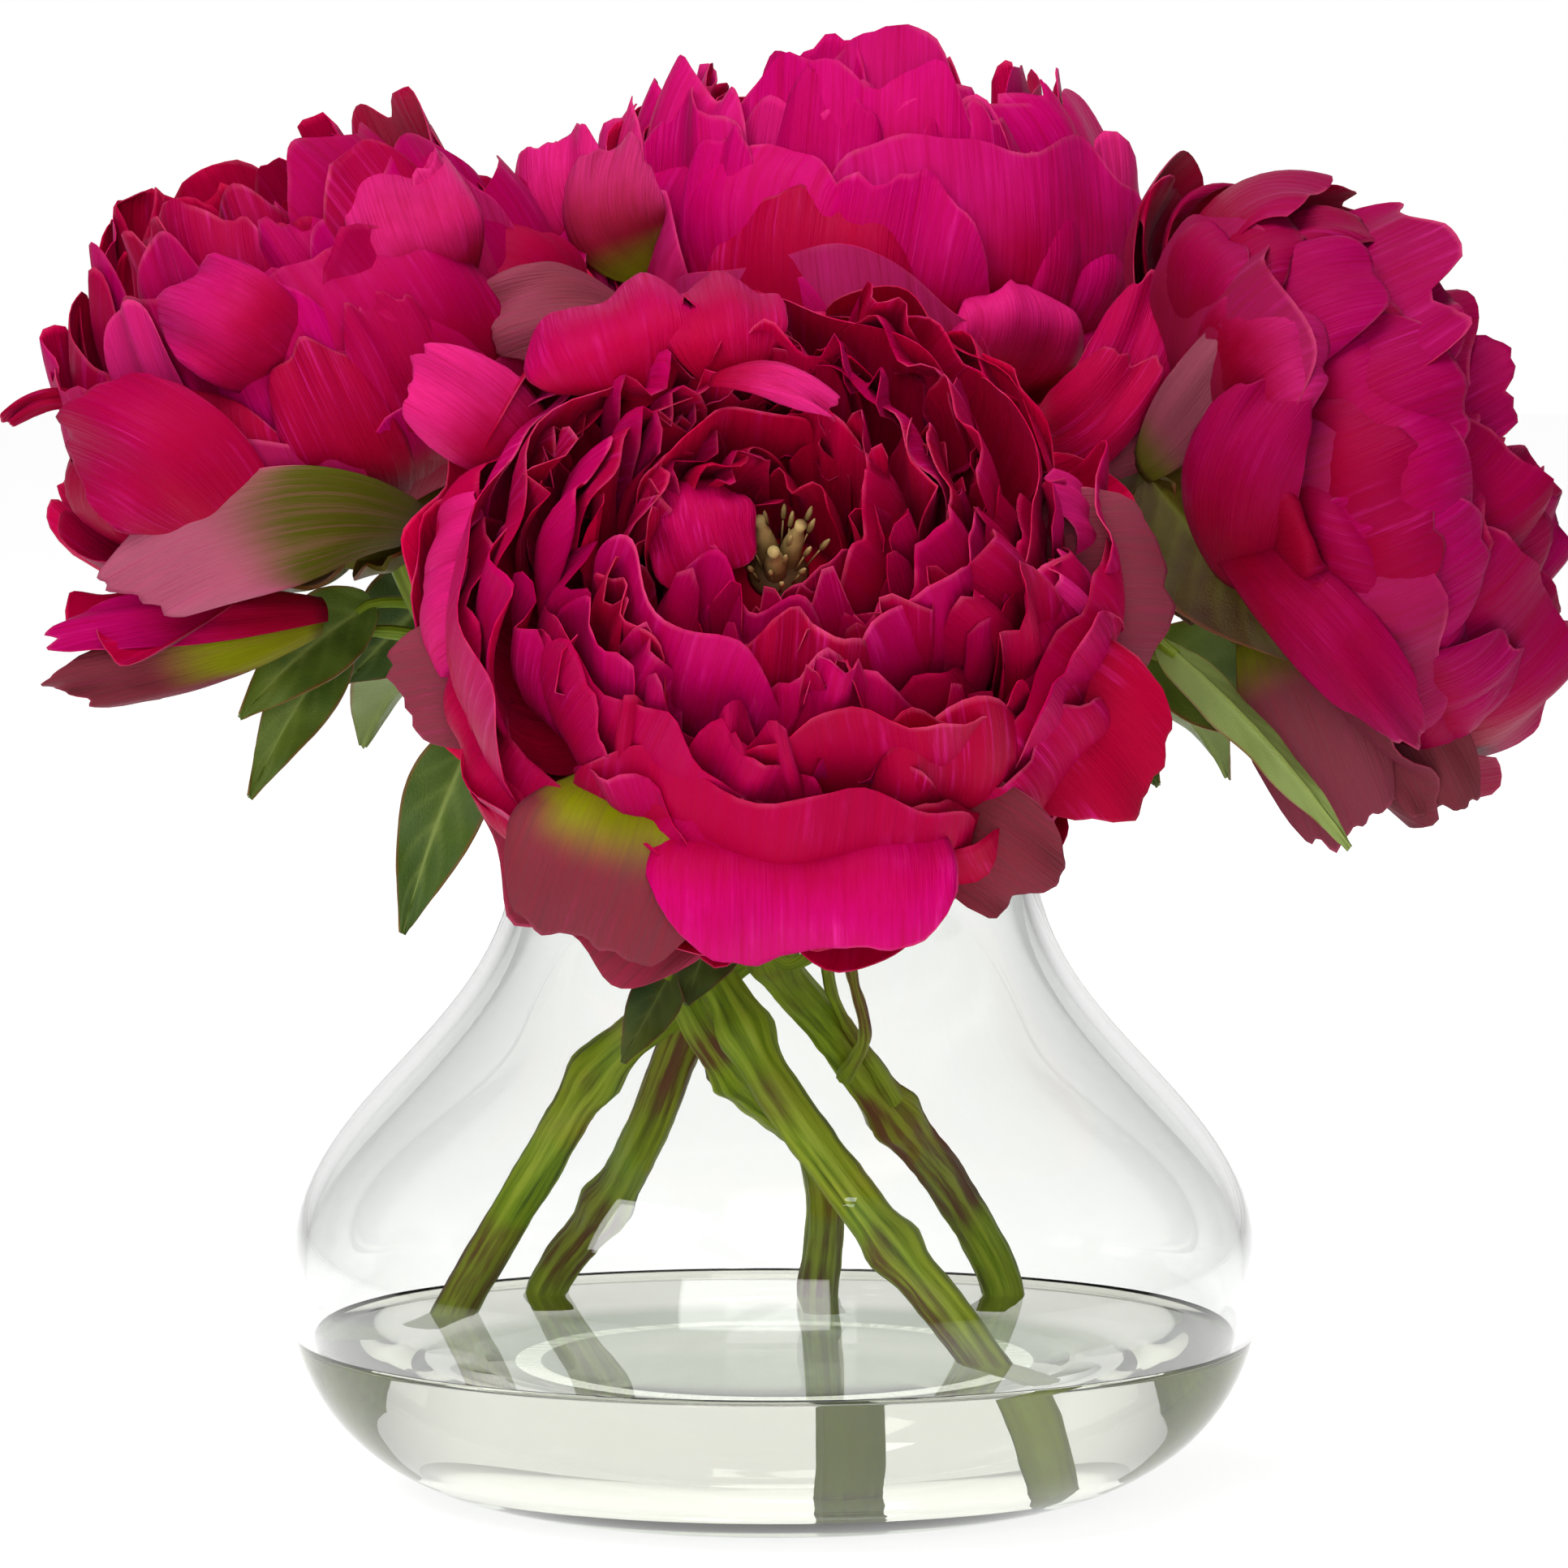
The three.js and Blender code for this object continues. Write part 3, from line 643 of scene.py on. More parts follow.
def hand_over(piece: Piece, slot: Slot, *nodes: str) -> None:
    """Tie a finished piece to the frame.

    Args:
        piece: the piece.
        slot: the record's slot for the piece; not used.
        *nodes: the nodes that it stands for.
    """
    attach(piece, "root")
    if nodes:
        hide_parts(*nodes)
    LOG.info("%s: %d faces", piece.name, len(piece.data.polygons))


# ---- curves


@dataclass(frozen=True)
class Bend:
    """A cubic curve in (radius, height), given by its two ends and two handles."""

    start: Pair
    leave: Pair
    arrive: Pair
    end: Pair

    def at(self, t: Grid) -> tuple[Grid, Grid]:
        """Return the points and the unit directions of travel at shares of the curve.

        Args:
            t: the shares, from 0 to 1.

        Returns:
            The points and the directions, with (radius, height) along the last axis.
        """
        p0, p1, p2, p3 = np.array([self.start, self.leave, self.arrive, self.end], float)
        s = t[..., None]
        points = (1 - s) ** 3 * p0 + 3 * (1 - s) ** 2 * s * p1 + 3 * (1 - s) * s**2 * p2 + s**3 * p3
        travel = 3 * (1 - s) ** 2 * (p1 - p0) + 6 * (1 - s) * s * (p2 - p1) + 3 * s**2 * (p3 - p2)
        return points, unit(travel)


def smooth_path(knots: "Grid | tuple[Triple, ...]", steps: int) -> Grid:
    """Return evenly spaced points of a smooth curve through knots.

    Args:
        knots: the points that it passes through.
        steps: how many steps the result has.

    Returns:
        The points, one a row.
    """
    given = np.array(knots, float)
    padded = np.vstack([2 * given[0] - given[1], given, 2 * given[-1] - given[-2]])
    fine = []
    for k in range(1, len(padded) - 2):
        p0, p1, p2, p3 = padded[k - 1 : k + 3]
        d0, d1, d2 = (max(np.linalg.norm(b - a) ** 0.5, 1e-4) for a, b in ((p0, p1), (p1, p2), (p2, p3)))
        leave = ((p1 - p0) / d0 - (p2 - p0) / (d0 + d1) + (p2 - p1) / d1) * d1
        arrive = ((p2 - p1) / d1 - (p3 - p1) / (d1 + d2) + (p3 - p2) / d2) * d1
        t = np.linspace(0, 1, 24, endpoint=False)[:, None]
        cubic = 2 * p1 - 2 * p2 + leave + arrive
        square = -3 * p1 + 3 * p2 - 2 * leave - arrive
        fine.append(p1 + leave * t + square * t**2 + cubic * t**3)
    fine.append(given[-1:])
    line = np.vstack(fine)
    length = np.concatenate([[0], np.cumsum(np.linalg.norm(np.diff(line, axis=0), axis=1))])
    wanted = np.linspace(0, length[-1], steps + 1)
    return np.stack([np.interp(wanted, length, line[:, k]) for k in range(3)], axis=1)


# ---- finishes


@dataclass(frozen=True)
class GlassFinish:
    """Clear blown glass with a faint grey-green tint."""

    tint: Colour = (0.888, 0.898, 0.885)
    foot: Colour = (0.2, 0.27, 0.17)
    foot_heights: Pair = (0.001, 0.006)
    index: float = 1.47

    def build(self) -> Material:
        """Make the material.

        Returns:
            The material.
        """
        sheet = ShaderSheet("blown_glass")
        where = sheet.on_object()
        smear = sheet.noise(where, 26.0, 2.0)
        height = sheet.axes(where)[2]
        thick = sheet.span(height, *self.foot_heights, 1.0, 0.0)
        sheet.shade(Base_Color=sheet.mix(thick, self.tint, self.foot), IOR=self.index, Transmission_Weight=1.0)
        sheet.shade(Roughness=sheet.span(smear, 0.35, 0.8, 0.0, 0.02))
        sheet.relief(sheet.noise(where, 9.0, 1.0), 0.12, 0.6)
        return sheet.data


@dataclass(frozen=True)
class WaterFinish:
    """Clear still water, a little yellow from the cut stems."""

    tint: Colour = (0.985, 0.98, 0.895)
    index: float = 1.333
    paler: float = 1.02

    def build(self) -> Material:
        """Make the material.

        Returns:
            The material.
        """
        sheet = ShaderSheet("vase_water")
        cloud = sheet.noise(sheet.on_object(), 40.0, 2.0)
        pale = tuple(min(1.0, share * self.paler) for share in self.tint)
        sheet.shade(Base_Color=sheet.mix(cloud, self.tint, pale), IOR=self.index, Transmission_Weight=1.0)
        sheet.shade(Roughness=0.0, Specular_IOR_Level=0.15)
        return sheet.data


@dataclass(frozen=True)
class PetalFinish:
    """Silky petals, crimson to purple, with painted sheen on the ridges of their relief, painted shade in its grooves,
    a painted glow on their inner faces and thin pale rims that are partly a painted highlight; guards have dusky
    outsides and green claws.
    """

    name: str = "petal_silk"
    # depth scales every colour: painted light and shade, brighter for the lit blooms and darker for the shaded ones.
    depth: float = 1.0
    root: Colour = (0.2, 0.0, 0.01)
    base: Colour = (0.315, 0.0, 0.02)
    hues: tuple[Colour, ...] = (
        (0.285, 0.0, 0.02), (0.31, 0.0, 0.042), (0.365, 0.0, 0.078), (0.44, 0.0, 0.112), (0.55, 0.014, 0.15)
    )
    # Painted light: brighter colour for the petals' inner faces, standing in for light shining through the petals.
    painted_glow: Colour = (0.56, 0.0, 0.04)
    # Painted sheen: the lighter colour of the silky highlights.
    silk_painted_sheen: Colour = (0.6, 0.015, 0.22)
    # Pale rim colour: partly the petals' own paler edge, partly a painted highlight.
    rim: Colour = (0.64, 0.08, 0.18)
    mauve: Colour = (0.118, 0.028, 0.034)
    pale_mauve: Colour = (0.34, 0.09, 0.135)
    claw: Colour = (0.2, 0.22, 0.002)
    dark_claw: Colour = (0.065, 0.068, 0.002)

    def build(self) -> Material:
        """Make the material.

        Returns:
            The material.
        """
        sheet = ShaderSheet(self.name)
        root, base, painted_glow, painted_sheen_colour, *hues = (
            tuple(min(1.0, share * self.depth) for share in colour)
            for colour in (self.root, self.base, self.painted_glow, self.silk_painted_sheen, *self.hues)
        )
        along, edge, chance = sheet.layer("tone")
        guard, outside, clawed = sheet.layer("role")
        where = sheet.on_object()
        streaks = sheet.noise(sheet.on_map((30.0, 1.3, 1.0)), 1.0, 5.0, 0.62)
        blotches = sheet.noise(where, 75.0)
        hue = sheet.ramp(chance, [(k / 4, colour) for k, colour in enumerate(hues)])
        tip = sheet.maths("ADD", along, sheet.times(sheet.maths("SUBTRACT", blotches, 0.5), 0.6))
        colour = sheet.mix(sheet.span(tip, 0.4, 0.95), base, hue)
        colour = sheet.mix(sheet.span(along, 0.0, 0.42, 1.0, 0.0), colour, root)
        # Painted light: inner faces are mixed towards a brighter glow, as if lit through the petal.
        colour = sheet.mix(sheet.span(outside, 0.0, 1.0, 0.7, 0.0), colour, painted_glow)
        # Painted sheen: lighter streaks on the relief's ridges, a painted silky highlight.
        silk_painted_sheen = sheet.times(sheet.span(streaks, 0.5, 0.72), sheet.span(blotches, 0.42, 0.68))
        silk_painted_sheen = sheet.times(silk_painted_sheen, sheet.span(along, 0.3, 0.9))
        colour = sheet.mix(sheet.times(silk_painted_sheen, 0.75), colour, painted_sheen_colour)
        # Painted shade: darker streaks where the relief's grooves lie.
        deep = sheet.times(sheet.span(streaks, 0.32, 0.52, 1.0, 0.0), 0.38)
        colour = sheet.mix(deep, colour, base)
        veins = sheet.noise(sheet.on_map((95.0, 4.0, 1.0)), 1.0)
        colour = sheet.mix(sheet.span(veins, 0.36, 0.56, 0.26, 0.0), colour, base)
        faded = sheet.maths("MINIMUM", sheet.maths("ADD", outside, sheet.span(chance, 0.45, 0.95)), 1.0)
        dusky = sheet.times(sheet.span(guard, 0.0, 0.5), faded)
        dusky = sheet.times(dusky, sheet.span(streaks, 0.2, 0.7, 0.95, 0.7))
        pale = sheet.span(guard, 0.6, 1.0)
        colour = sheet.mix(dusky, colour, sheet.mix(pale, self.mauve, self.pale_mauve))
        stripe = sheet.maths("SUBTRACT", along, sheet.times(clawed, 0.5))
        green = sheet.times(sheet.span(guard, 0.05, 0.2), sheet.span(stripe, -0.08, 0.24, 1.0, 0.0))
        green = sheet.times(green, sheet.span(streaks, 0.35, 0.55, 0.78, 1.0))
        middle = sheet.maths("MAXIMUM", sheet.span(edge, 0.45, 0.9, 1.0, 0.0), pale)
        green = sheet.times(green, middle)
        colour = sheet.mix(green, colour, sheet.mix(pale, self.claw, self.dark_claw))
        # Pale rims: partly the petals' own paler edge, partly a painted highlight along the rim.
        lip = sheet.times(sheet.span(edge, 0.98, 1.0), sheet.span(blotches, 0.4, 0.7, 0.0, 0.42))
        colour = sheet.mix(lip, colour, self.rim)
        sheet.shade(Base_Color=colour, Roughness=sheet.span(streaks, 0.3, 0.7, 0.6, 0.42), IOR=1.4)
        sheet.shade(Specular_IOR_Level=0.12, Specular_Tint=(1.0, 0.3, 0.7))
        sheet.shade(Sheen_Weight=0.06, Sheen_Roughness=0.35, Sheen_Tint=(0.95, 0.05, 0.35))
        sheet.relief(sheet.maths("ADD", streaks, sheet.times(veins, 0.35)), 0.8, 0.5)
        return sheet.data


@dataclass(frozen=True)
class StemFinish:
    """Green stalks with darker and reddish-brown patches, brighter below the waterline, which is painted light, and
    darker from the vase's neck up under the blooms, which is painted shade.
    """

    green: Colour = (0.26, 0.4, 0.008)
    pale: Colour = (0.48, 0.6, 0.04)
    dark: Colour = (0.09, 0.15, 0.004)
    brown: Colour = (0.18, 0.06, 0.025)
    underwater_painted_light: Colour = (0.33, 0.42, 0.0)
    shaded: Pair = (0.088, 0.112)
    waterline: Pair = (0.023, 0.0255)

    def build(self) -> Material:
        """Make the material.

        Returns:
            The material.
        """
        sheet = ShaderSheet("stalk_green")
        where = sheet.on_object()
        patches = sheet.noise(where, 45.0)
        rust = sheet.noise(where, 34.0)
        height = sheet.axes(where)[2]
        grain = sheet.add_vectors(sheet.attribute("around", "Vector"), sheet.attribute("way", "Vector"))
        streaks = sheet.noise(sheet.scaled(grain, (1.6, 1.6, 28.0)), 1.4, 4.0, 0.6)
        colour = sheet.ramp(streaks, [(0.34, self.dark), (0.46, self.green), (0.62, self.pale)])
        colour = sheet.mix(sheet.span(patches, 0.35, 0.7, 0.0, 0.5), colour, self.green)
        brown = sheet.times(sheet.span(rust, 0.44, 0.6), sheet.span(streaks, 0.42, 0.6, 0.95, 0.35))
        colour = sheet.mix(brown, colour, self.brown)
        # Painted shade: the stalks darken towards their dark colour from the vase's neck up, under the blooms.
        colour = sheet.mix(sheet.span(height, *self.shaded, 0.0, 0.72), colour, self.dark)
        # Painted light: below the waterline the stalks are brightened towards a fresher green.
        colour = sheet.mix(sheet.span(height, *self.waterline, 0.9, 0.0), colour, self.underwater_painted_light)
        rough = sheet.span(streaks, 0.3, 0.7, 0.6, 0.42)
        sheet.shade(Base_Color=colour, Roughness=rough, Specular_IOR_Level=0.3)
        sheet.relief(streaks, 0.5, 0.4)
        return sheet.data


@dataclass(frozen=True)
class LeafFinish:
    """Leaves and sepals: mid green above with paler veins, greyish below, reddish along the edge."""

    name: str = "leaf_green"
    above: Colour = (0.1, 0.15, 0.015)
    dark: Colour = (0.035, 0.07, 0.008)
    below: Colour = (0.2, 0.26, 0.07)
    vein: Colour = (0.22, 0.28, 0.06)
    edge: Colour = (0.2, 0.05, 0.02)

    def build(self) -> Material:
        """Make the material.

        Returns:
            The material.
        """
        sheet = ShaderSheet(self.name)
        veins, edge, chance = sheet.layer("tone")
        _, upper, _ = sheet.layer("role")
        cloud = sheet.noise(sheet.on_object(), 60.0, 4.0)
        grain = sheet.noise(sheet.on_map((22.0, 30.0, 1.0)), 1.0)
        colour = sheet.mix(sheet.span(cloud, 0.3, 0.7), self.dark, self.above)
        colour = sheet.mix(sheet.span(chance, 0.3, 1.0, 0.0, 0.6), colour, self.dark)
        colour = sheet.mix(sheet.span(upper, 0.0, 1.0, 0.8, 0.0), colour, self.below)
        colour = sheet.mix(sheet.times(veins, 0.7), colour, self.vein)
        colour = sheet.mix(sheet.span(edge, 0.9, 1.0, 0.0, 0.6), colour, self.edge)
        rough = sheet.span(grain, 0.3, 0.7, 0.5, 0.36)
        sheet.shade(Base_Color=colour, Roughness=rough, Specular_IOR_Level=0.2)
        sheet.relief(grain, 0.4, 0.3)
        return sheet.data


@dataclass(frozen=True)
class HeartFinish:
    """Tan-yellow stamens and downy carpels, darker at their foot."""

    foot: Colour = (0.12, 0.06, 0.015)
    middle: Colour = (0.28, 0.18, 0.05)
    tip: Colour = (0.5, 0.36, 0.13)

    def build(self) -> Material:
        """Make the material.

        Returns:
            The material.
        """
        sheet = ShaderSheet("heart_gold")
        along, _, _ = sheet.layer("tone")
        grain = sheet.noise(sheet.on_object(), 420.0)
        colour = sheet.ramp(along, [(0.0, self.foot), (0.45, self.middle), (0.85, self.tip)])
        colour = sheet.mix(sheet.span(grain, 0.35, 0.7, 0.0, 0.5), colour, self.foot)
        sheet.shade(Base_Color=colour, Roughness=sheet.span(grain, 0.3, 0.7, 0.85, 0.65))
        sheet.relief(grain, 0.6, 0.3)
        return sheet.data


# ---- vase and water


@dataclass(frozen=True)
class Vase:
    """The glass vase: belly, neck and lip radii and heights, how far its curves run on before they turn,
    wall and floor, the arched underside, and the flat middle of the floor."""

    belly_radius: float = 75.0
    belly_height: float = 34.0
    belly_runs: Pair = (20.0, 29.0)
    base_radius: float = 40.0
    base_run: float = 20.0
    base_lift: float = 1.0
    neck_radius: float = 40.0
    neck_height: float = 101.0
    neck_runs: Pair = (30.0, 7.0)
    lip_radius: float = 43.0
    lip_round: float = 1.3
    height: float = 114.0
    wall: float = 2.6
    floor: float = 5.0
    floor_radius: float = 44.0
    corner_run: float = 7.0
    corner_height: float = 4.0
    foot: tuple[Pair, ...] = ((0, 0.5), (14, 0.45), (24, 0.25), (32, 0.05), (36, 0.0))
    pool: tuple[float, ...] = (30.0, 15.0)
    segments: int = 160
    steps: int = 22

    def outline(self) -> Grid:
        """Work out the outside from the base's edge to the lip.

        Returns:
            Rows of (radius, height).
        """
        belly = (self.belly_radius, self.belly_height)
        neck = (self.neck_radius, self.neck_height)
        lip = (self.lip_radius, self.height - self.lip_round)
        turn = (self.neck_radius, self.neck_height + self.neck_runs[1])
        under = (self.belly_radius, self.belly_height - self.belly_runs[0])
        over = (self.belly_radius, self.belly_height + self.belly_runs[1])
        lower = Bend((self.base_radius, 0), (self.base_radius + self.base_run, self.base_lift), under, belly)
        shoulder = Bend(belly, over, (self.neck_radius, self.neck_height - self.neck_runs[0]), neck)
        leave = tuple(n + (t - n) * 2 / 3 for n, t in zip(neck, turn))
        arrive = tuple(e + (t - e) * 2 / 3 for e, t in zip(lip, turn))
        mouth = Bend(neck, leave, arrive, lip)
        spans = ((lower, self.steps, 0), (shoulder, self.steps + 6, 1), (mouth, 8, 1))
        return np.vstack([bend.at(np.linspace(0, 1, count + 1))[0][skip:] for bend, count, skip in spans])

    def inset(self, distance: float) -> Grid:
        """Return the outline moved inwards, square to itself.

        Args:
            distance: how far.

        Returns:
            Rows of (radius, height).
        """
        line = self.outline()
        travel = unit(np.gradient(line, axis=0))
        return line + distance * np.stack([-travel[:, 1], travel[:, 0]], axis=1)

    def build(self, finish: Material) -> None:
        """Make the glass as one closed shape.

        Args:
            finish: the glass.
        """
        inside = self.inset(self.wall)
        inside = inside[inside[:, 1] > self.floor + self.corner_height]
        angles = np.linspace(0.35, math.pi - 0.35, 7)
        half = self.wall / 2
        across = self.lip_radius - half + half * np.cos(angles)
        lip = np.stack([across, self.height - self.lip_round * (1 - np.sin(angles))], axis=1)
        corner = inside[0]
        slope = unit(corner - inside[1])
        flat, middle = ((radius, self.floor) for radius in self.pool)
        turn = Bend(tuple(corner), tuple(corner + self.corner_run * slope), (self.floor_radius + 2, self.floor), flat)
        pool = np.vstack([turn.at(np.linspace(0, 1, 15)[1:])[0], [middle, [0, self.floor]]])
        stack = MeshStack()
        stack.turned(np.vstack([self.foot, self.outline(), lip, inside[::-1], pool]), self.segments)
        hand_over(stack.finish("vase_glass", finish), Slot.GLASS, "vase")


@dataclass(frozen=True)
class Water:
    """The water: its level, how far it reaches into the glass's skin, its raised edge, the height that
    its lower corner starts at above the floor, and the middle that is left flat."""

    level: float = 24.5
    soak: float = 0.12
    meniscus: float = 1.1
    meniscus_width: float = 3.0
    corner: float = 1.2
    flat: float = 30.0

    def build(self, vase: Vase, finish: Material) -> None:
        """Fill the vase up to the level.

        Args:
            vase: the vase that holds it.
            finish: the water.
        """
        wall = vase.inset(vase.wall - self.soak)
        top = self.level + self.meniscus
        below = wall[(wall[:, 1] > vase.floor + self.corner) & (wall[:, 1] < top)]
        rim_radius = float(np.interp(top, wall[:, 1], wall[:, 0]))
        rise = np.linspace(0, 1, 7)[1:]
        heights = self.level + self.meniscus * (1 - rise) ** 2.5
        surface = np.stack([rim_radius - self.meniscus_width * rise, heights], axis=1)
        bottom = [[0, vase.floor - self.soak], [vase.floor_radius, vase.floor - self.soak]]
        middle = [[self.flat, self.level], [0, self.level]]
        stack = MeshStack()
        stack.turned(np.vstack([bottom, below, [[rim_radius, top]], surface, middle]), vase.segments)
        hand_over(stack.finish("water_filling", finish), Slot.WATER, "water")


# ---- blooms


@dataclass(frozen=True)
class PetalLayer:
    """One ring of petals. order: its place from the outside in. reach, rise: the rim, as shares of the
    bloom's radius and height. belly: how far it bulges beyond the rim. width: half width, and cup: the
    radius that it is bent to across, both as shares of the bloom's radius. ruffle, frill: the height of
    its broad wave and of the fine waves along the rim, in millimetres. lobe: how deep the rim's lobes are.
    guard: how much it looks like an outermost petal. rounding: how far its corners fall back. loosen: how
    unevenly it stands."""

    order: float
    count: int
    reach: float
    rise: float
    belly: float
    width: float
    cup: float
    ruffle: float
    lobe: float
    frill: float
    guard: float = 0.0
    rounding: float = 0.3
    rows: int = 19
    columns: int = 33
    loosen: float = 0.0


def filling(order: float, count: int, reach: float, rise: float, belly: float, width: float) -> PetalLayer:
    """Return a ring of small rounded petals that stands between the broad ones.

    Args:
        order: its place from the outside in.
        count: how many petals it has.
        reach: the rim's distance from the axis, as a share of the bloom's radius.
        rise: the rim's height, as a share of the bloom's height.
        belly: how far it bulges beyond the rim.
        width: half width as a share of the radius.

    Returns:
        The ring.
    """
    return PetalLayer(
        order, count, reach, rise, belly, width,
        cup=0.25 + 0.6 * reach, ruffle=1.2, lobe=0.03, frill=1.0, rounding=0.5, rows=15, columns=23, loosen=1.0,
    )


STRUCTURE = (
    PetalLayer(0, 5, 1.14, 0.42, 0.9, 0.66, cup=1.0, ruffle=1.8, lobe=0.03, frill=1.2, guard=0.15),
    PetalLayer(1, 5, 0.97, 0.78, 1.1, 0.68, cup=0.9, ruffle=1.2, lobe=0.03, frill=1.2),
    PetalLayer(2, 5, 0.79, 0.95, 1.12, 0.56, cup=0.8, ruffle=1.0, lobe=0.04, frill=1.4),
    PetalLayer(3, 4, 0.57, 1.03, 1.16, 0.46, cup=0.6, ruffle=0.8, lobe=0.05, frill=1.4),
    PetalLayer(4, 3, 0.36, 1.0, 1.2, 0.36, cup=0.4, ruffle=0.6, lobe=0.05, frill=1.2),
)
FILLING = (
    filling(0.3, 6, 1.13, 0.4, 0.95, 0.42),
    filling(0.5, 7, 1.1, 0.52, 1.02, 0.38),
    filling(0.8, 7, 1.04, 0.64, 1.07, 0.38),
    filling(1.2, 7, 0.97, 0.76, 1.1, 0.36),
    filling(1.6, 8, 0.89, 0.86, 1.12, 0.33),
    filling(2.2, 7, 0.78, 0.94, 1.13, 0.31),
    filling(2.6, 7, 0.67, 0.99, 1.15, 0.29),
    filling(3.2, 6, 0.54, 1.03, 1.18, 0.27),
    filling(3.6, 5, 0.43, 1.01, 1.2, 0.25),
    filling(4.2, 5, 0.31, 0.97, 1.2, 0.23),
    filling(4.7, 4, 0.2, 0.91, 1.25, 0.2),
)
LOOSE_LAYER = PetalLayer(
    0, 1, 1.0, 0.0, 1.0, 0.5, cup=1.3, ruffle=2.2, lobe=0.03, frill=1.3, rounding=0.5, rows=20, columns=31
)
SPARE_RINGS = (0.5, 1.2)
FRILL_REACHES = (0.2, 0.31, 0.43, 0.54, 0.67, 0.78, 0.89, 1.0)
FRILL_RISES = (0.92, 0.98, 1.02, 1.04, 1.0, 0.95, 0.87, 0.72)


@dataclass(frozen=True)
class LoosePetal:
    """A loose guard petal: where it points from the bloom's base, its reach, rise and sideways tilt, its
    half width as a share of the radius, its hue, how far green it is, and how much it looks like a guard."""

    towards: Triple
    reach: float
    rise: float
    roll: float = 0.0
    width: float = 0.5
    hue: float = 0.4
    claw: float = 0.3
    guard: float = 0.6


@dataclass(frozen=True)
class RimPetal:
    """A petal set by its rim: the rim's middle in the object's frame, half width, share of the hues, and
    how far its lip curls out."""

    rim: Triple
    width: float
    hue: float
    curl: float = 1.0


@dataclass(frozen=True)
class CurledPetal:
    """A petal folded over towards the front: its middle, the way it faces, half sizes, dome, tilt and hue."""

    middle: Triple
    face: Triple
    width: float
    height: float
    dome: float
    hue: float
    tilt: float = 0.0

    def add(self, stack: MeshStack, inverse: Matrix) -> None:
        """Add the petal to a mesh.

        Args:
            stack: the mesh.
            inverse: the move from the object's frame to the mesh's own.
        """
        b, a = np.meshgrid(np.linspace(-1, 1, 17), np.linspace(-1, 1, 25), indexing="ij")
        x, y = a * np.sqrt(1 - b * b / 2), b * np.sqrt(1 - a * a / 2)
        face = unit(self.face)
        level = unit(np.cross([0.0, 0.0, 1.0], face))
        rise = np.cross(face, level)
        cosine, sine = math.cos(self.tilt), math.sin(self.tilt)
        sideways, upwards = level * cosine + rise * sine, rise * cosine - level * sine
        far = x * x + y * y
        around = np.arctan2(y, x)
        swell = self.dome * (1 - far) + 0.6 * np.sin(5 * x + 2 * y + self.width) * far
        swell = swell + 0.22 * np.sin(11 * x + 2 * np.sin(3 * y)) + 0.5 * np.sin(4 * around + 1) * far**2
        outline = 1 + (0.05 * np.sin(3 * around + self.width) + 0.05 * np.sin(7 * around)) * far
        grid = (
            self.middle
            + sideways * (x * outline * self.width)[..., None]
            + upwards * (y * outline * self.height)[..., None]
            + face * swell[..., None]
        )
        grid = moved(grid, inverse)
        far = np.hypot(x, y)
        tone = np.dstack([0.8 + 0.2 * y, far, np.full_like(x, self.hue)])
        stack.blade(grid, 0.5 - 0.25 * far, tone, np.dstack([0.5 * x, y]))


@dataclass(frozen=True)
class LaidPetal:
    """A petal laid freely in the object's frame: a curve from its root past a handle to its tip, the way
    its outside faces, its half width and share of the hues, how mauve it is (0.6 dark, 1 pale), how far
    green, and how far it swells."""

    root: Triple
    over: Triple
    tip: Triple
    face: Triple
    width: float
    hue: float
    mauve: float = 0.0
    claw: float = 0.0
    dome: float = 2.0

    def add(self, stack: MeshStack, inverse: Matrix, detail: SeededDraws) -> None:
        """Add the petal to a mesh.

        Args:
            stack: the mesh.
            inverse: the move from the object's frame to the mesh's own.
            detail: the random series of its rim and creases.
        """
        phase = detail.between(0, 2 * math.pi)
        notch, depth = detail.between(-0.6, 0.6), detail.between(0.02, 0.06)
        rows = 1 - (1 - np.linspace(0, 1, 20)) ** 1.3
        v, u = np.meshgrid(rows, np.linspace(-1, 1, 29), indexing="ij")
        rounding = 0.45 * (1 - (1 - np.minimum(np.abs(u), 0.995) ** 2.4) ** (1 / 2.4))
        scallop = 0.045 * np.cos(4.4 * u + phase) - depth * np.exp(-(((u - notch) / 0.1) ** 2))
        fray = 0.01 * np.sin(13 * u + phase) + 0.008 * np.sin(23 * u + 3 * phase)
        t = np.clip(v * (1 - rounding * v + scallop * v**3) + fray * v**8, 0, 1.05)
        s = t[..., None]
        root, over, tip = np.array([self.root, self.over, self.tip], float)
        line = (1 - s) ** 2 * root + 2 * s * (1 - s) * over + s**2 * tip
        travel = unit((1 - s) * (over - root) + s * (tip - over))
        level = unit(np.cross(travel, self.face))
        out = np.cross(level, travel)
        spread = 0.4 + 0.6 * np.sin(math.pi / 2 * np.minimum(1, t / 0.55))
        ruffle = 1.3 * t * t * np.sin(1.9 * math.pi * u + phase)
        crease = 0.3 * v * np.sin(9 * u + 2 * np.sin(4 * v + phase))
        lift = self.dome * (1 - u * u) * (0.4 + 0.6 * np.sin(math.pi * np.minimum(t, 1))) + ruffle + crease
        grid = moved(line + level * (u * self.width * spread)[..., None] + out * lift[..., None], inverse)
        edge = np.maximum(v, np.abs(u) * np.minimum(1, v * 2.2))
        along = v if self.claw else 0.35 + 0.65 * v
        tone = np.dstack([along, edge, np.full_like(v, self.hue)])
        maps = np.dstack([u * 0.5 + phase, v])
        stack.blade(grid, 0.5 * (1 - 0.7 * edge**6), tone, maps, (self.mauve, self.claw))


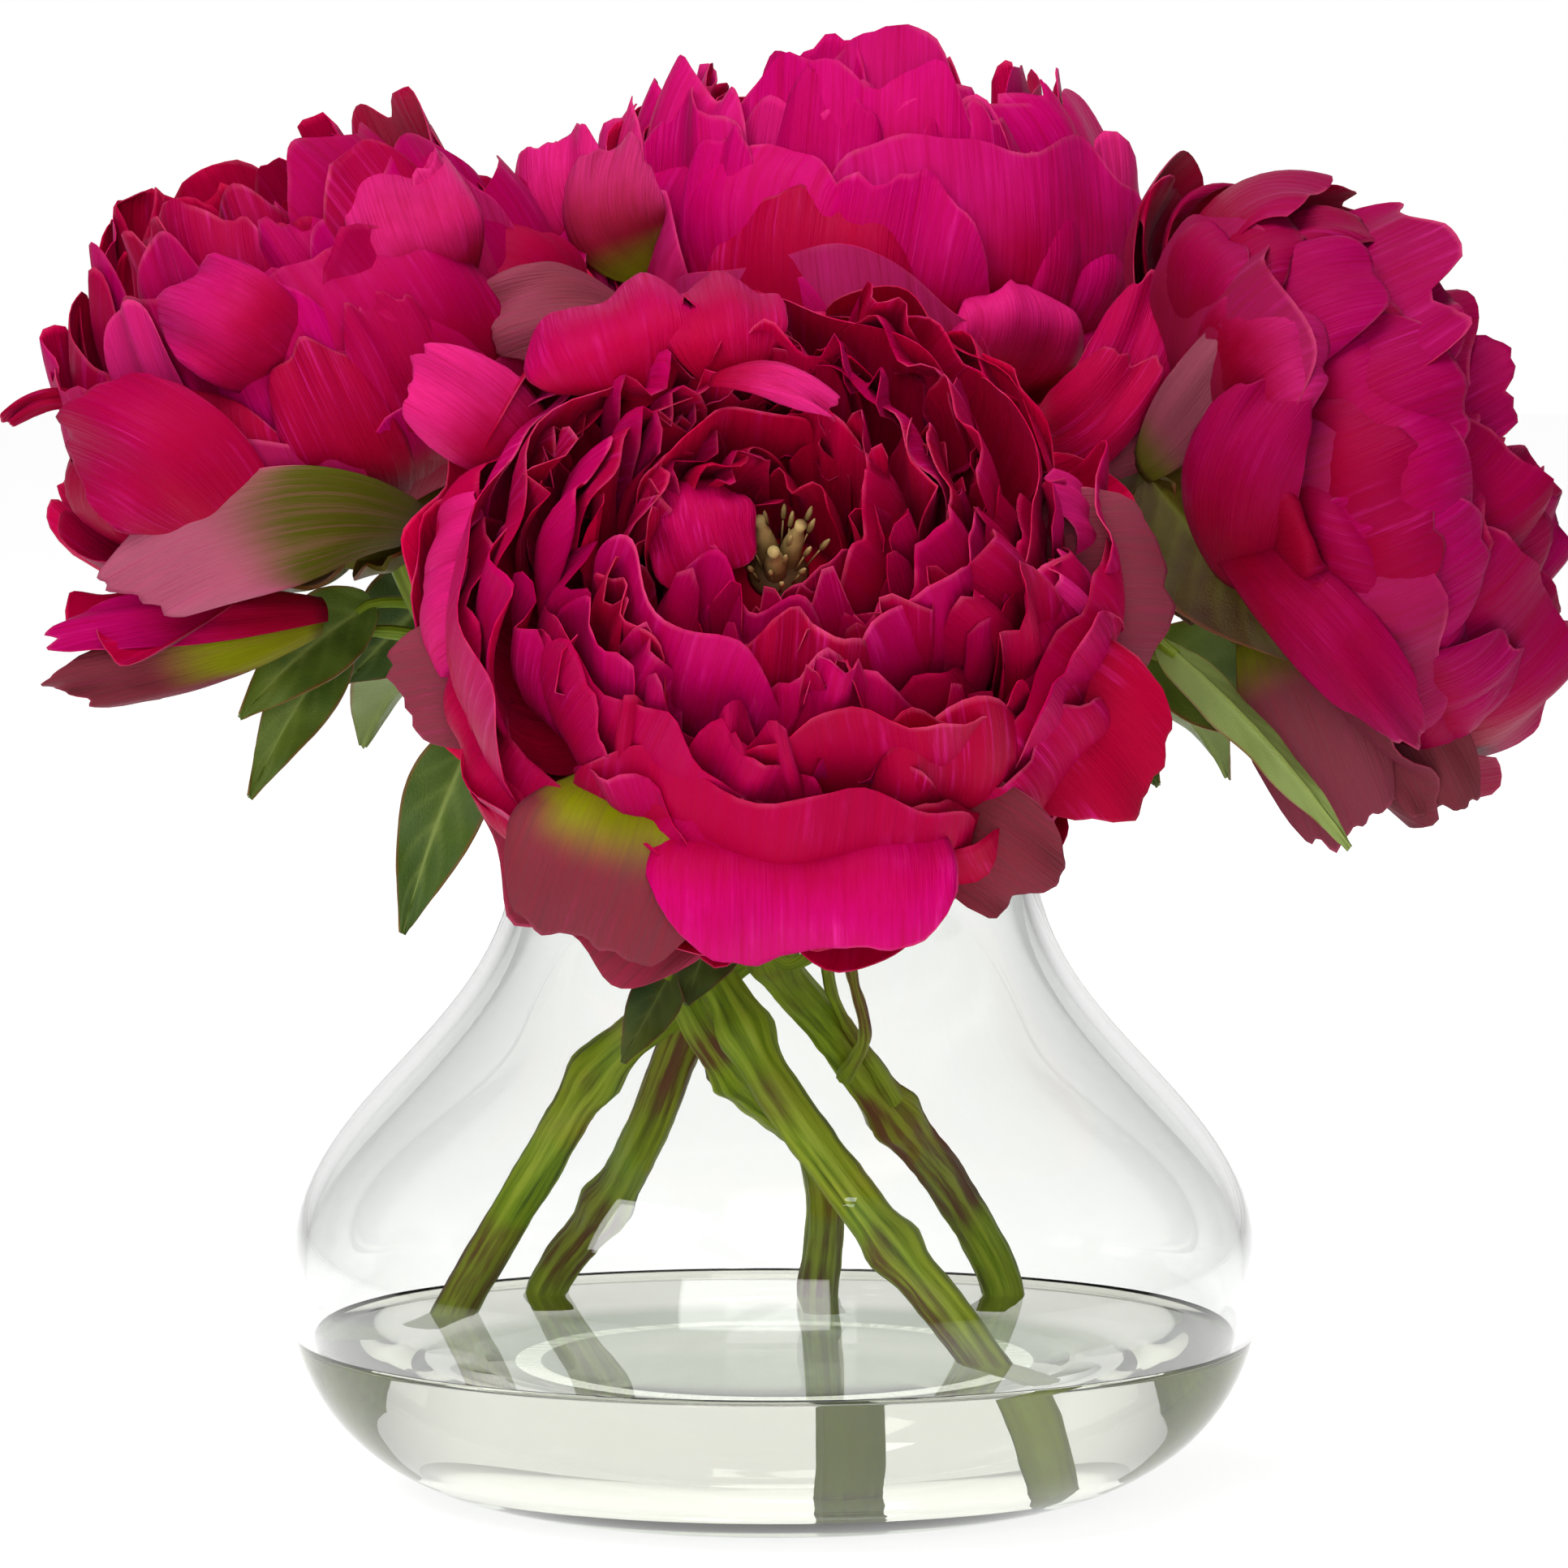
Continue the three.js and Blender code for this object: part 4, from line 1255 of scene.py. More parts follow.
@dataclass(frozen=True)
class Bloom:
    """One double bloom: where it sits, which way it faces, its size and turn, its petals set one by one,
    the share of the hues that its other petals have, how many small crumpled petals stand among them,
    whether it has the spare rings, and how bright its colours are, which paints the light and shade that
    falls on the whole bloom. Its core is core_radius wide and rises to the share seat of its height, where
    the heart stands; ragged is the share of torn rims."""

    name: str
    base: Triple
    axis: Triple
    radius: float
    height: float
    turn: float
    seed: int
    loose: tuple[LoosePetal, ...]
    placed: tuple[RimPetal, ...] = ()
    curled: tuple[CurledPetal, ...] = ()
    hues: Pair = (0.1, 0.85)
    laid: tuple[LaidPetal, ...] = ()
    frills: int = 0
    dense: bool = False
    # depth: painted light and shade for the whole bloom, as a scale on its colours.
    depth: float = 1.0
    thickness: float = 0.5
    core_radius: float = 11.5
    root_radius: float = 9.0
    heart_radius: float = 4.5
    seat: float = 0.62
    seat_gap: float = 0.3
    ragged: float = 0.5

    def matrix(self) -> Matrix:
        """Work out the move from the bloom's own frame, whose axis is +Z, to the object's.

        Returns:
            The move, in millimetres.
        """
        axis = Vector(self.axis).normalized()
        tilt = Vector((0, 0, 1)).rotation_difference(axis)
        spin = Quaternion((0, 0, 1), self.turn)
        return Matrix.Translation(Vector(self.base)) @ (tilt @ spin).to_matrix().to_4x4()

    def midline(self, layer: PetalLayer) -> Bend:
        """Return the middle line of a layer's petals, from the core to the rim.

        Args:
            layer: the layer.

        Returns:
            The line in (radius, height).
        """
        reach = layer.reach * self.radius
        rise = layer.rise * self.height
        root = 2.6 + layer.order * 2.2
        first = layer.order == 0
        return Bend(
            (self.root_radius, root),
            ((0.5 if first else layer.belly) * reach, -1.0 if first else root),
            (layer.belly * 1.04 * reach, (0.08 if first else 0.62) * rise),
            (reach, rise),
        )

    def add_petal(
        self, stack: MeshStack, layer: PetalLayer, midline: Bend, azimuth: float, draws: SeededDraws,
        detail: SeededDraws, roll: float = 0.0, own: "RimPetal | LoosePetal | None" = None,
    ) -> None:
        """Add one petal.

        Args:
            stack: the mesh that takes it.
            layer: its ring.
            midline: its middle line.
            azimuth: where it stands around the bloom's axis.
            draws: the random series that sets its size and wave.
            detail: the random series of its rim and creases.
            roll: how far it tilts sideways.
            own: its own settings, for a loose petal or one set by its rim.
        """
        size = 1 + 0.12 * (draws() - 0.5)
        phase = 2 * math.pi * draws()
        lean = 0.16 + 0.04 * (draws() - 0.5)
        size *= 1 + layer.loosen * detail.between(-0.13, 0.05)
        lobes = detail.between(1.2, 2.6)
        shift = detail.between(0, 2 * math.pi)
        curl = detail.between(-3.0, 1.0) if isinstance(own, LoosePetal) else detail.between(-2.5, 4.5)
        chance = self.hues[0] + (self.hues[1] - self.hues[0]) * detail()
        frill_waves = detail.between(1.4, 3.2)
        frill_shift = detail.between(0, 2 * math.pi)
        crease_shift = detail.between(0, 2 * math.pi)
        skew = detail.between(-0.15, 0.15) * (0.5 + layer.loosen)
        roll += detail.between(-0.14, 0.14) * layer.loosen
        notches = [(detail.between(-0.8, 0.8), detail.between(0.01, 0.05)) for _ in range(3)]
        torn = detail() < self.ragged
        claw = 0.0
        if isinstance(own, RimPetal):
            size, curl, chance, skew, lean = 1.0, own.curl, own.hue, 0.0, 0.0
        elif own is not None:
            chance, claw = own.hue, own.claw
        steps = np.linspace(0, 1, layer.rows)
        places = np.linspace(-1, 1, layer.columns)
        v, u = np.meshgrid(1 - (1 - steps) ** 1.4, places + 0.11 * np.sin(math.pi * places), indexing="ij")
        cup = layer.cup * self.radius
        rounding = layer.rounding * (1 - (1 - np.minimum(np.abs(u), 0.995) ** 2.3) ** (1 / 2.3))
        scallop = layer.lobe * np.cos(lobes * math.pi * u + shift)
        for place, depth in notches if torn else notches[:1]:
            scallop = scallop - depth * np.exp(-(((u - place) / 0.12) ** 2))
        fray = (0.011 * np.sin(11 * u + 3 * shift) + 0.009 * np.sin(19 * u + 7 * shift)) * torn
        t = np.clip(v * (1 - rounding * v + scallop * v**3 + fray * v**8) * size, 0, 1.07)
        spread = 0.13 + 0.87 * np.sin(math.pi / 2 * np.minimum(1, t / 0.62))
        across = u * layer.width * self.radius * spread
        middle, travel = midline.at(np.minimum(t, 1))
        past = np.maximum(t - 1, 0) * self.height
        swell = 0.6 + 0.4 * np.sin(1.7 * u + shift)
        frill = layer.frill * swell * v**4 * np.sin(frill_waves * math.pi * u + frill_shift)
        crease = 0.22 * v * np.sin(11 * u + 2.2 * np.sin(4 * v + crease_shift) + crease_shift)
        lip = curl * np.maximum(v - 0.72, 0) ** 2 / 0.28**2
        wave = layer.ruffle * t * t * np.sin(2.1 * math.pi * u + phase) + frill + crease - lip
        inward = cup * (1 - np.cos(across / cup))
        radial = middle[..., 0] + travel[..., 0] * past + travel[..., 1] * wave - inward + lean * across
        height = middle[..., 1] + travel[..., 1] * past - travel[..., 0] * wave + roll * across * t
        sideways = cup * np.sin(across / cup)
        turn = azimuth + skew * v**2
        cosine, sine = np.cos(turn), np.sin(turn)
        grid = np.dstack([radial * cosine - sideways * sine, radial * sine + sideways * cosine, height])
        edge = np.maximum(v, np.abs(u) * np.minimum(1, v * 2.2))
        tone = np.dstack([v, edge, np.full_like(v, chance)])
        maps = np.dstack([u * 0.5 + 7.3 * chance, v])
        thickness = self.thickness * (1 - 0.7 * edge**6)
        stack.blade(grid, thickness, tone, maps, (layer.guard, claw))

    def add_placed(self, stack: MeshStack, placed: RimPetal, inverse: Matrix, detail: SeededDraws) -> None:
        """Add a petal that is set by its rim.

        Args:
            stack: the mesh that takes it.
            placed: the petal.
            inverse: the move from the object's frame to the bloom's own.
            detail: the random series of its rim and creases.
        """
        rim = inverse @ Vector(placed.rim)
        reach, rise = math.hypot(rim.x, rim.y), rim.z
        belly = 1.0 + 0.14 * min(1.0, rise / self.height)
        midline = Bend(
            (self.root_radius, 2.0), (belly * reach, 1.0), (belly * 1.05 * reach, 0.6 * rise), (reach, rise)
        )
        width = placed.width / self.radius
        layer = PetalLayer(
            1, 1, 1, 1, belly, width,
            cup=0.85, ruffle=0.8, lobe=0.02, frill=0.9, rounding=0.5, rows=20, columns=27,
        )
        self.add_petal(stack, layer, midline, math.atan2(rim.y, rim.x), detail, detail, 0.0, placed)

    def add_core(self, stack: MeshStack) -> None:
        """Add the core that carries the petals.

        Args:
            stack: the mesh that takes it.
        """
        top = self.seat * self.height
        core = (
            (0, self.seat_gap),
            (self.core_radius - 1, self.seat_gap),
            (self.core_radius, 0.25 * self.height),
            (self.core_radius - 1, 0.48 * self.height),
            (self.heart_radius + 1, top),
            (0, top),
        )
        stack.turned(core, 24)

    def build_petals(self, finish: Material) -> None:
        """Make the petals on their core as one piece.

        Args:
            finish: the petals' finish.
        """
        stack = MeshStack()
        self.add_core(stack)
        draws = SeededDraws(self.seed)
        detail = SeededDraws(self.seed + 211)
        for layer in STRUCTURE:
            midline = self.midline(layer)
            for k in range(layer.count):
                jitter = 0.2 * (draws() - 0.5)
                azimuth = 2 * math.pi * (k + 0.5 * (layer.order % 2) + jitter) / layer.count
                self.add_petal(stack, layer, midline, azimuth, draws, detail)
        matrix = self.matrix()
        inverse = matrix.inverted()
        for loose in self.loose:
            towards = inverse @ (Vector(self.base) + Vector(loose.towards))
            azimuth = math.atan2(towards.y, towards.x)
            layer = replace(LOOSE_LAYER, width=loose.width, guard=loose.guard)
            reach, rise = loose.reach, loose.rise
            midline = Bend((self.root_radius, 0.95), (0.5 * reach, -0.05), (0.9 * reach, 0.15 * rise), (reach, rise))
            self.add_petal(stack, layer, midline, azimuth, draws, detail, loose.roll, loose)
        extra = SeededDraws(self.seed + 101)
        for layer in FILLING:
            if layer.order in SPARE_RINGS and not self.dense:
                continue
            midline = self.midline(layer)
            for k in range(layer.count):
                azimuth = 2 * math.pi * (k + 0.25 + 0.35 * (extra() - 0.5)) / layer.count + layer.order
                self.add_petal(stack, layer, midline, azimuth, extra, detail)
        for placed in self.placed:
            self.add_placed(stack, placed, inverse, detail)
        for curled in self.curled:
            curled.add(stack, inverse)
        for laid in self.laid:
            laid.add(stack, inverse, detail)
        hand_over(stack.finish("bloom_" + self.name, finish, matrix), Slot.PETALS, "petals_" + self.name)

    def build_frills(self, finish: Material) -> None:
        """Make the small crumpled petals that stand among the others, as one piece.

        Args:
            finish: the petals' finish.
        """
        if not self.frills:
            return
        stack = MeshStack()
        draws = SeededDraws(self.seed + 307)
        for k in range(self.frills):
            share = (k + 0.5) / self.frills
            reach = 0.24 + 0.6 * share**0.75
            rise = float(np.interp(reach, FRILL_REACHES, FRILL_RISES)) + draws.between(-0.02, 0.035)
            width = draws.between(0.12, 0.2)
            layer = PetalLayer(
                5.2 - 4.6 * reach, 1, reach, rise, 1.14, width,
                cup=0.3, ruffle=1.5, lobe=0.07, frill=1.5, rounding=0.45, rows=12, columns=15, loosen=1.3,
            )
            azimuth = GOLDEN_ANGLE * k + draws.between(-0.2, 0.2)
            self.add_petal(stack, layer, self.midline(layer), azimuth, draws, draws)
        hand_over(stack.finish("frills_" + self.name, finish, self.matrix()), Slot.PETALS)

    def build_heart(self, stamens: "StamenTuft") -> None:
        """Make the carpels and stamens in the middle of the bloom.

        Args:
            stamens: the tuft's maker.
        """
        foot = self.seat * self.height + self.seat_gap
        piece = stamens.grow("heart_of_" + self.name, foot, self.seed)
        piece.data.transform(Matrix.Scale(MM, 4) @ self.matrix())
        piece.data.materials.clear()
        piece.data.materials.append(stamens.finish)
        hand_over(piece, Slot.HEART, "heart_" + self.name)


@dataclass
class StamenTuft:
    """Stamens on a small pad, made by a geometry tree, with three downy carpels among them. scatter: the
    shortest and longest stamen as shares of the length. sink: how deep they stand in the pad."""

    finish: Material
    count: int = 18
    length: float = 9.5
    spread: float = 0.35
    scatter: Pair = (0.75, 1.15)
    disc_radius: float = 4.0
    sink: float = 0.8
    pad: tuple[Pair, ...] = ((0, 0), (4.5, 0), (4.2, 1.2), (3.0, 2.5), (0, 3.0))
    carpels: int = 3
    carpel_length: float = 12.0
    carpel_radius: float = 1.7

    def stamen(self) -> bpy.types.Mesh:
        """Make one upright stamen of length 1: a thin filament under a long anther.

        Returns:
            Its mesh.
        """
        stack = MeshStack()
        filament = np.array([[0, 0, 0], [0.01, 0, 0.35], [0.03, 0, 0.72]])
        stack.tube(filament, np.array([0.022, 0.017, 0.014]), 4)
        anther = np.array([[0.03, 0, 0.68], [0.035, 0, 0.75], [0.045, 0, 0.88], [0.055, 0, 1.0]])
        stack.tube(anther, np.array([0.02, 0.05, 0.048, 0.018]), 5)
        carrier = stack.finish("stamen_template", self.finish)
        mesh = carrier.data
        mesh.transform(Matrix.Scale(1 / MM, 4))
        bpy.data.objects.remove(carrier)
        return mesh

    @cached_property
    def recipe(self) -> GeometryRecipe:
        """Make the tree that sets stamens on a disc, leaning out from its middle, when it is first used.

        Returns:
            The tree.
        """
        recipe = GeometryRecipe("stamen_tuft")
        count = recipe.size("Count", "NodeSocketInt")
        radius = recipe.size("Disc radius")
        foot = recipe.size("Foot height")
        length = recipe.size("Length")
        spread = recipe.size("Spread")
        seed = recipe.size("Seed", "NodeSocketInt")
        index = recipe.add("GeometryNodeInputIndex").outputs[0]
        share = recipe.maths("SQRT", recipe.maths("DIVIDE", recipe.maths("ADD", index, 0.5), count))
        angle = recipe.maths("MULTIPLY", index, GOLDEN_ANGLE)
        out = recipe.maths("MULTIPLY", share, radius)
        x = recipe.maths("MULTIPLY", out, recipe.maths("COSINE", angle))
        y = recipe.maths("MULTIPLY", out, recipe.maths("SINE", angle))
        place = recipe.add("ShaderNodeCombineXYZ", x, y, foot).outputs[0]
        points = recipe.add("GeometryNodePoints", count, place).outputs[0]
        wobble = recipe.add("FunctionNodeRandomValue", data_type="FLOAT")
        for socket, number in zip([socket for socket in wobble.inputs if socket.enabled], self.scatter):
            socket.default_value = number
        recipe.join(seed, wobble, "Seed")
        scatter = [socket for socket in wobble.outputs if socket.enabled][0]
        lean = recipe.maths("MULTIPLY", recipe.maths("MULTIPLY", share, spread), scatter)
        turn = recipe.add("ShaderNodeCombineXYZ", 0.0, lean, angle).outputs[0]
        instances = recipe.add("GeometryNodeInstanceOnPoints")
        recipe.join(points, instances, "Points")
        recipe.join(recipe.entry.outputs["Geometry"], instances, "Instance")
        recipe.join(turn, instances, "Rotation")
        tall = recipe.maths("MULTIPLY", length, scatter)
        scale = recipe.add("ShaderNodeCombineXYZ", length, length, tall).outputs[0]
        recipe.join(scale, instances, "Scale")
        recipe.close(instances.outputs[0], self.finish)
        return recipe

    def grow(self, name: str, foot: float, seed: int) -> Piece:
        """Make one tuft in its bloom's own frame, in millimetres.

        Args:
            name: the piece's name.
            foot: the height of its pad.
            seed: the random series' number.

        Returns:
            The piece.
        """
        sizes = {
            "Count": self.count,
            "Disc radius": self.disc_radius,
            "Foot height": foot + self.sink,
            "Length": self.length,
            "Spread": self.spread,
            "Seed": seed,
        }
        tuft = self.recipe.grow(name + "_tuft", self.stamen(), sizes)
        stack = MeshStack()
        stack.turned(np.add(self.pad, [0, foot]), 20)
        draws = SeededDraws(seed + 31)
        for k in range(self.carpels):
            azimuth = 2 * math.pi * k / self.carpels + 0.4 * draws()
            tall = self.carpel_length * (0.8 + 0.25 * draws())
            away = np.array([math.cos(azimuth), math.sin(azimuth), 0])
            t = np.linspace(0, 1, 9)[:, None]
            path = away * (1.4 + 0.18 * tall * t**1.5) + np.array([0, 0, 1]) * (foot + self.sink + tall * t)
            radii = self.carpel_radius * np.sin(math.pi * (0.28 + 0.66 * t[:, 0])) ** 0.8
            radii[-2:] = [0.75, 0.9]
            stack.tube(path, radii, 10)
        body = stack.finish(name, self.finish, Matrix.Scale(1 / MM, 4))
        bpy.ops.object.select_all(action="DESELECT")
        for piece in (tuft, body):
            piece.select_set(True)
        bpy.context.view_layer.objects.active = body
        bpy.ops.object.join()
        return body


# ---- stems and leaves


@dataclass(frozen=True)
class Leaf:
    """A leaf: where its petiole leaves the stem as a share of its length, the blade's root and tip, half
    width, droop and face, and how far the petiole arches."""

    at: float
    root: Triple
    tip: Triple
    width: float
    droop: float
    face: Triple = (0, -1, 0.2)
    arch: float = 4.0

    def run(self) -> Grid:
        """Return the way from root to tip before the droop."""
        return np.subtract(self.tip, self.root) + [0, 0, self.droop]

    def add(self, stack: MeshStack, draws: SeededDraws) -> None:
        """Add the blade to a mesh.

        Args:
            stack: the mesh.
            draws: a random series.
        """
        v, u = np.meshgrid(np.linspace(0, 1, 44), np.linspace(-1, 1, 19), indexing="ij")
        length = float(np.linalg.norm(self.run()))
        direction = self.run() / length
        sideways = unit(np.cross(direction, self.face))
        face = unit(np.cross(sideways, direction))
        half = np.maximum(self.width * np.sin(math.pi * (0.08 + 0.9 * v**0.82)), 0.4)
        wave = 0.7 * np.sin(2.6 * math.pi * v + self.width)
        phase = draws.between(0, 6.28)
        midrib = np.exp(-((u / 0.09) ** 2))
        ribs = max(5.0, length / 5)
        side = np.abs(np.sin(math.pi * (ribs * v - 1.6 * np.abs(u)))) ** 10
        ripple = 0.35 * np.abs(u) ** 2 * np.sin(2 * math.pi * 3.2 * v + phase)
        lift = np.abs(u) * 0.35 * half + u * wave + ripple - 0.3 * midrib - 0.12 * side
        grid = (
            self.root
            + direction * (length * v)[..., None]
            + np.array([0, 0, -1]) * (self.droop * v * v)[..., None]
            + sideways * (u * half)[..., None]
            + face * lift[..., None]
        )
        veins = np.clip(midrib + 0.4 * side * (1 - np.abs(u)), 0, 1)
        tone = np.dstack([veins, np.abs(u), np.full_like(v, draws())])
        thickness = 0.5 - 0.2 * np.abs(u) + 0.5 * midrib
        stack.blade(grid, thickness, tone, np.dstack([u, v * length / 12]))

    def petiole(self, path: Grid) -> Grid:
        """Return the middle line of the petiole, which starts inside the stem.

        Args:
            path: the stem's evenly spaced points.

        Returns:
            The petiole's points.
        """
        start = path[int(round(self.at * (len(path) - 1)))]
        middle = (start + self.root) / 2 + [0, 0, self.arch]
        return smooth_path(np.array([start, middle, self.root, self.root + unit(self.run()) * 3]), 14)


@dataclass(frozen=True)
class Stem:
    """A stalk through its points, with its leaves, and with a receptacle and sepals if it bears a bloom.
    knobs: where it has nodes, as shares of its length. twigs: thin side shoots. taper: how much thinner it
    ends without a bloom. swell: how much thicker it gets over its last stretch, receptacle, under a bloom.
    cup: the outline of the bloom's underside in (radius, height)."""

    name: str
    knots: tuple[Triple, ...]
    leaves: tuple[Leaf, ...]
    bloom: "Bloom | None" = None
    knobs: tuple[float, ...] = ()
    twigs: tuple[tuple[Triple, ...], ...] = ()
    sepals: tuple[Leaf, ...] = ()
    radius: float = 3.5
    taper: float = 0.45
    receptacle: float = 9.0
    swell: float = 2.9
    knob_rise: float = 0.36
    knob_reach: float = 3.2
    petiole_radius: float = 1.1
    cup: tuple[Pair, ...] = (
        (0, -8.2), (4.6, -8.6), (7.4, -8.1), (9.8, -6.5), (11.6, -4.0), (12.6, -1.2), (12.6, 1.0), (0, 2.2)
    )
    sepal_width: float = 6.5
    steps: int = 110

    def path(self) -> Grid:
        """Work out the stalk's middle line.

        Returns:
            Evenly spaced points along it.
        """
        knots = self.knots
        if self.bloom is not None:
            base = self.bloom.base
            knots = np.vstack([knots, base - self.receptacle * unit(self.bloom.axis), base])
        return smooth_path(knots, self.steps)

    def radii(self, path: Grid) -> Grid:
        """Work out the stalk's thickness.

        Args:
            path: the stalk's points.

        Returns:
            Its radius at each point.
        """
        t = np.linspace(0, 1, len(path))
        length = float(np.sum(np.linalg.norm(np.diff(path, axis=0), axis=1)))
        if self.bloom is None:
            radii = self.radius * (1 - self.taper * t)
        else:
            near = np.maximum(0, 1 - (1 - t) * length / self.receptacle)
            radii = self.radius + self.swell * near**2
        for knob in self.knobs:
            radii = radii * (1 + self.knob_rise * np.exp(-(((t - knob) * length / self.knob_reach) ** 2)))
        return radii

    def build(self, stalks: "StalkTree", greens: Material, olive: Material) -> None:
        """Make the stalk with its petioles, the leaves, and the calyx if it bears a bloom.

        Args:
            stalks: the stalk's maker.
            greens: the finish of leaves.
            olive: the finish of the calyx.
        """
        path = self.path()
        lines = [(path, self.radii(path))]
        for leaf in self.leaves:
            line = leaf.petiole(path)
            lines.append((line, self.petiole_radius * (1.25 - 0.5 * np.linspace(0, 1, len(line)))))
        for twig in self.twigs:
            line = smooth_path(twig, 30)
            lines.append((line, 1.0 + 0.5 * np.abs(np.linspace(-1, 1, len(line))) ** 3))
        hand_over(stalks.grow("stalk_" + self.name, lines, len(self.name)), Slot.GREENS, "stem_" + self.name)
        stack = MeshStack()
        draws = SeededDraws(len(self.name) * 17 + 5)
        for leaf in self.leaves:
            leaf.add(stack, draws)
        hand_over(stack.finish("leaves_" + self.name, greens), Slot.GREENS)
        if self.bloom is not None:
            calyx = MeshStack()
            self.add_sepals(calyx)
            for sepal in self.sepals:
                sepal.add(calyx, draws)
            hand_over(calyx.finish("calyx_" + self.name, olive), Slot.GREENS)

    def add_sepals(self, stack: MeshStack) -> None:
        """Add a cup and five sepals that hug the underside of the bloom.

        Args:
            stack: the empty mesh that takes them.
        """
        draws = SeededDraws(self.bloom.seed + 7)
        matrix = self.bloom.matrix()
        stack.turned(self.cup, 28)
        stack.points[0] = moved(stack.points[0], matrix)
        v, u = np.meshgrid(np.linspace(0, 1, 22), np.linspace(-1, 1, 15), indexing="ij")
        for k in range(5):
            azimuth = 2 * math.pi * (k + 0.3 * draws()) / 5
            length = 13 + 7 * draws()
            half = self.sepal_width * np.sin(math.pi * (0.1 + 0.8 * v))
            radial = 4 + length * v
            ripple = 0.4 * np.sin(9 * v + 4 * u + k) * np.abs(u) * v
            height = -4.2 - 2.5 * np.sin(math.pi * v) - 2 * v + np.abs(u) * 1.2 + ripple
            cosine, sine = math.cos(azimuth), math.sin(azimuth)
            aside = u * half
            grid = moved(np.dstack([radial * cosine - aside * sine, radial * sine + aside * cosine, height]), matrix)
            rib = np.exp(-((u / 0.12) ** 2)) * 0.5
            tone = np.dstack([rib, np.abs(u), np.full_like(v, 0.3)])
            stack.blade(grid, 0.9 - 0.3 * np.abs(u), tone, np.dstack([u, v * 2]))


@dataclass
class StalkTree:
    """The geometry tree that makes ribbed stalks along paths. uneven: how far the surface rises and falls,
    in a pattern of the scale grain. around: how many points the section has."""

    finish: Material
    ribs: int = 9
    rib_depth: float = 0.13
    uneven: float = 1.3
    grain: float = 160.0
    around: int = 27

    @cached_property
    def recipe(self) -> GeometryRecipe:
        """Make the tree, a ribbed section swept along curves and made a little uneven, when it is first used.

        Returns:
            The tree.
        """
        recipe = GeometryRecipe("ribbed_stalk")
        ribs = recipe.size("Ribs", "NodeSocketInt")
        inner = recipe.size("Groove radius")
        uneven = recipe.size("Unevenness")
        seed = recipe.size("Seed")
        star = recipe.add("GeometryNodeCurveStar", ribs, inner, 1.0, 0.0)
        smooth = recipe.add("GeometryNodeCurveSplineType", star.outputs[0], spline_type="CATMULL_ROM")
        fine = recipe.add("GeometryNodeResampleCurve", smooth.outputs[0])
        fine.inputs["Count"].default_value = self.around
        angle = recipe.maths("MULTIPLY", recipe.add("GeometryNodeSplineParameter").outputs["Factor"], 2 * math.pi)
        ring = recipe.add("ShaderNodeCombineXYZ", recipe.maths("COSINE", angle), recipe.maths("SINE", angle), 0.0)
        profile = recipe.mark(fine.outputs[0], "around", ring.outputs[0])
        way = recipe.add("GeometryNodeSplineParameter").outputs["Length"]
        far = recipe.add("ShaderNodeCombineXYZ", 0.0, 0.0, way)
        spine = recipe.mark(recipe.entry.outputs["Geometry"], "way", far.outputs[0])
        sweep = recipe.add("GeometryNodeCurveToMesh")
        recipe.join(spine, sweep, "Curve")
        recipe.join(profile, sweep, "Profile Curve")
        sweep.inputs["Fill Caps"].default_value = True
        recipe.join(recipe.add("GeometryNodeInputRadius").outputs[0], sweep, "Scale")
        noise = recipe.add("ShaderNodeTexNoise", noise_dimensions="4D")
        recipe.join(recipe.add("GeometryNodeInputPosition").outputs[0], noise, "Vector")
        recipe.join(seed, noise, "W")
        noise.inputs["Scale"].default_value = self.grain
        height = recipe.maths("MULTIPLY", recipe.maths("SUBTRACT", noise.outputs[0], 0.5), uneven)
        normal = recipe.add("GeometryNodeInputNormal").outputs[0]
        offset = recipe.add("ShaderNodeVectorMath", normal, operation="SCALE")
        recipe.join(height, offset, "Scale")
        uneven_stalk = recipe.add("GeometryNodeSetPosition")
        recipe.join(sweep.outputs[0], uneven_stalk, "Geometry")
        recipe.join(offset.outputs[0], uneven_stalk, "Offset")
        recipe.close(uneven_stalk.outputs[0], self.finish)
        return recipe

    def grow(self, name: str, lines: list[tuple[Grid, Grid]], seed: int) -> Piece:
        """Make stalks along lines.

        Args:
            name: the piece's name.
            lines: each line's points and radii.
            seed: the unevenness' number.

        Returns:
            The piece.
        """
        curve = bpy.data.curves.new(name, "CURVE")
        curve.dimensions = "3D"
        for points, radii in lines:
            spline = curve.splines.new("POLY")
            spline.points.add(len(points) - 1)
            spline.points.foreach_set("co", np.concatenate([points * MM, np.ones((len(points), 1))], axis=1).ravel())
            spline.points.foreach_set("radius", radii * MM)
        sizes = {
            "Ribs": self.ribs,
            "Groove radius": 1.0 - self.rib_depth,
            "Unevenness": self.uneven * MM,
            "Seed": float(seed),
        }
        return self.recipe.grow(name, curve, sizes)


# ---- the arrangement

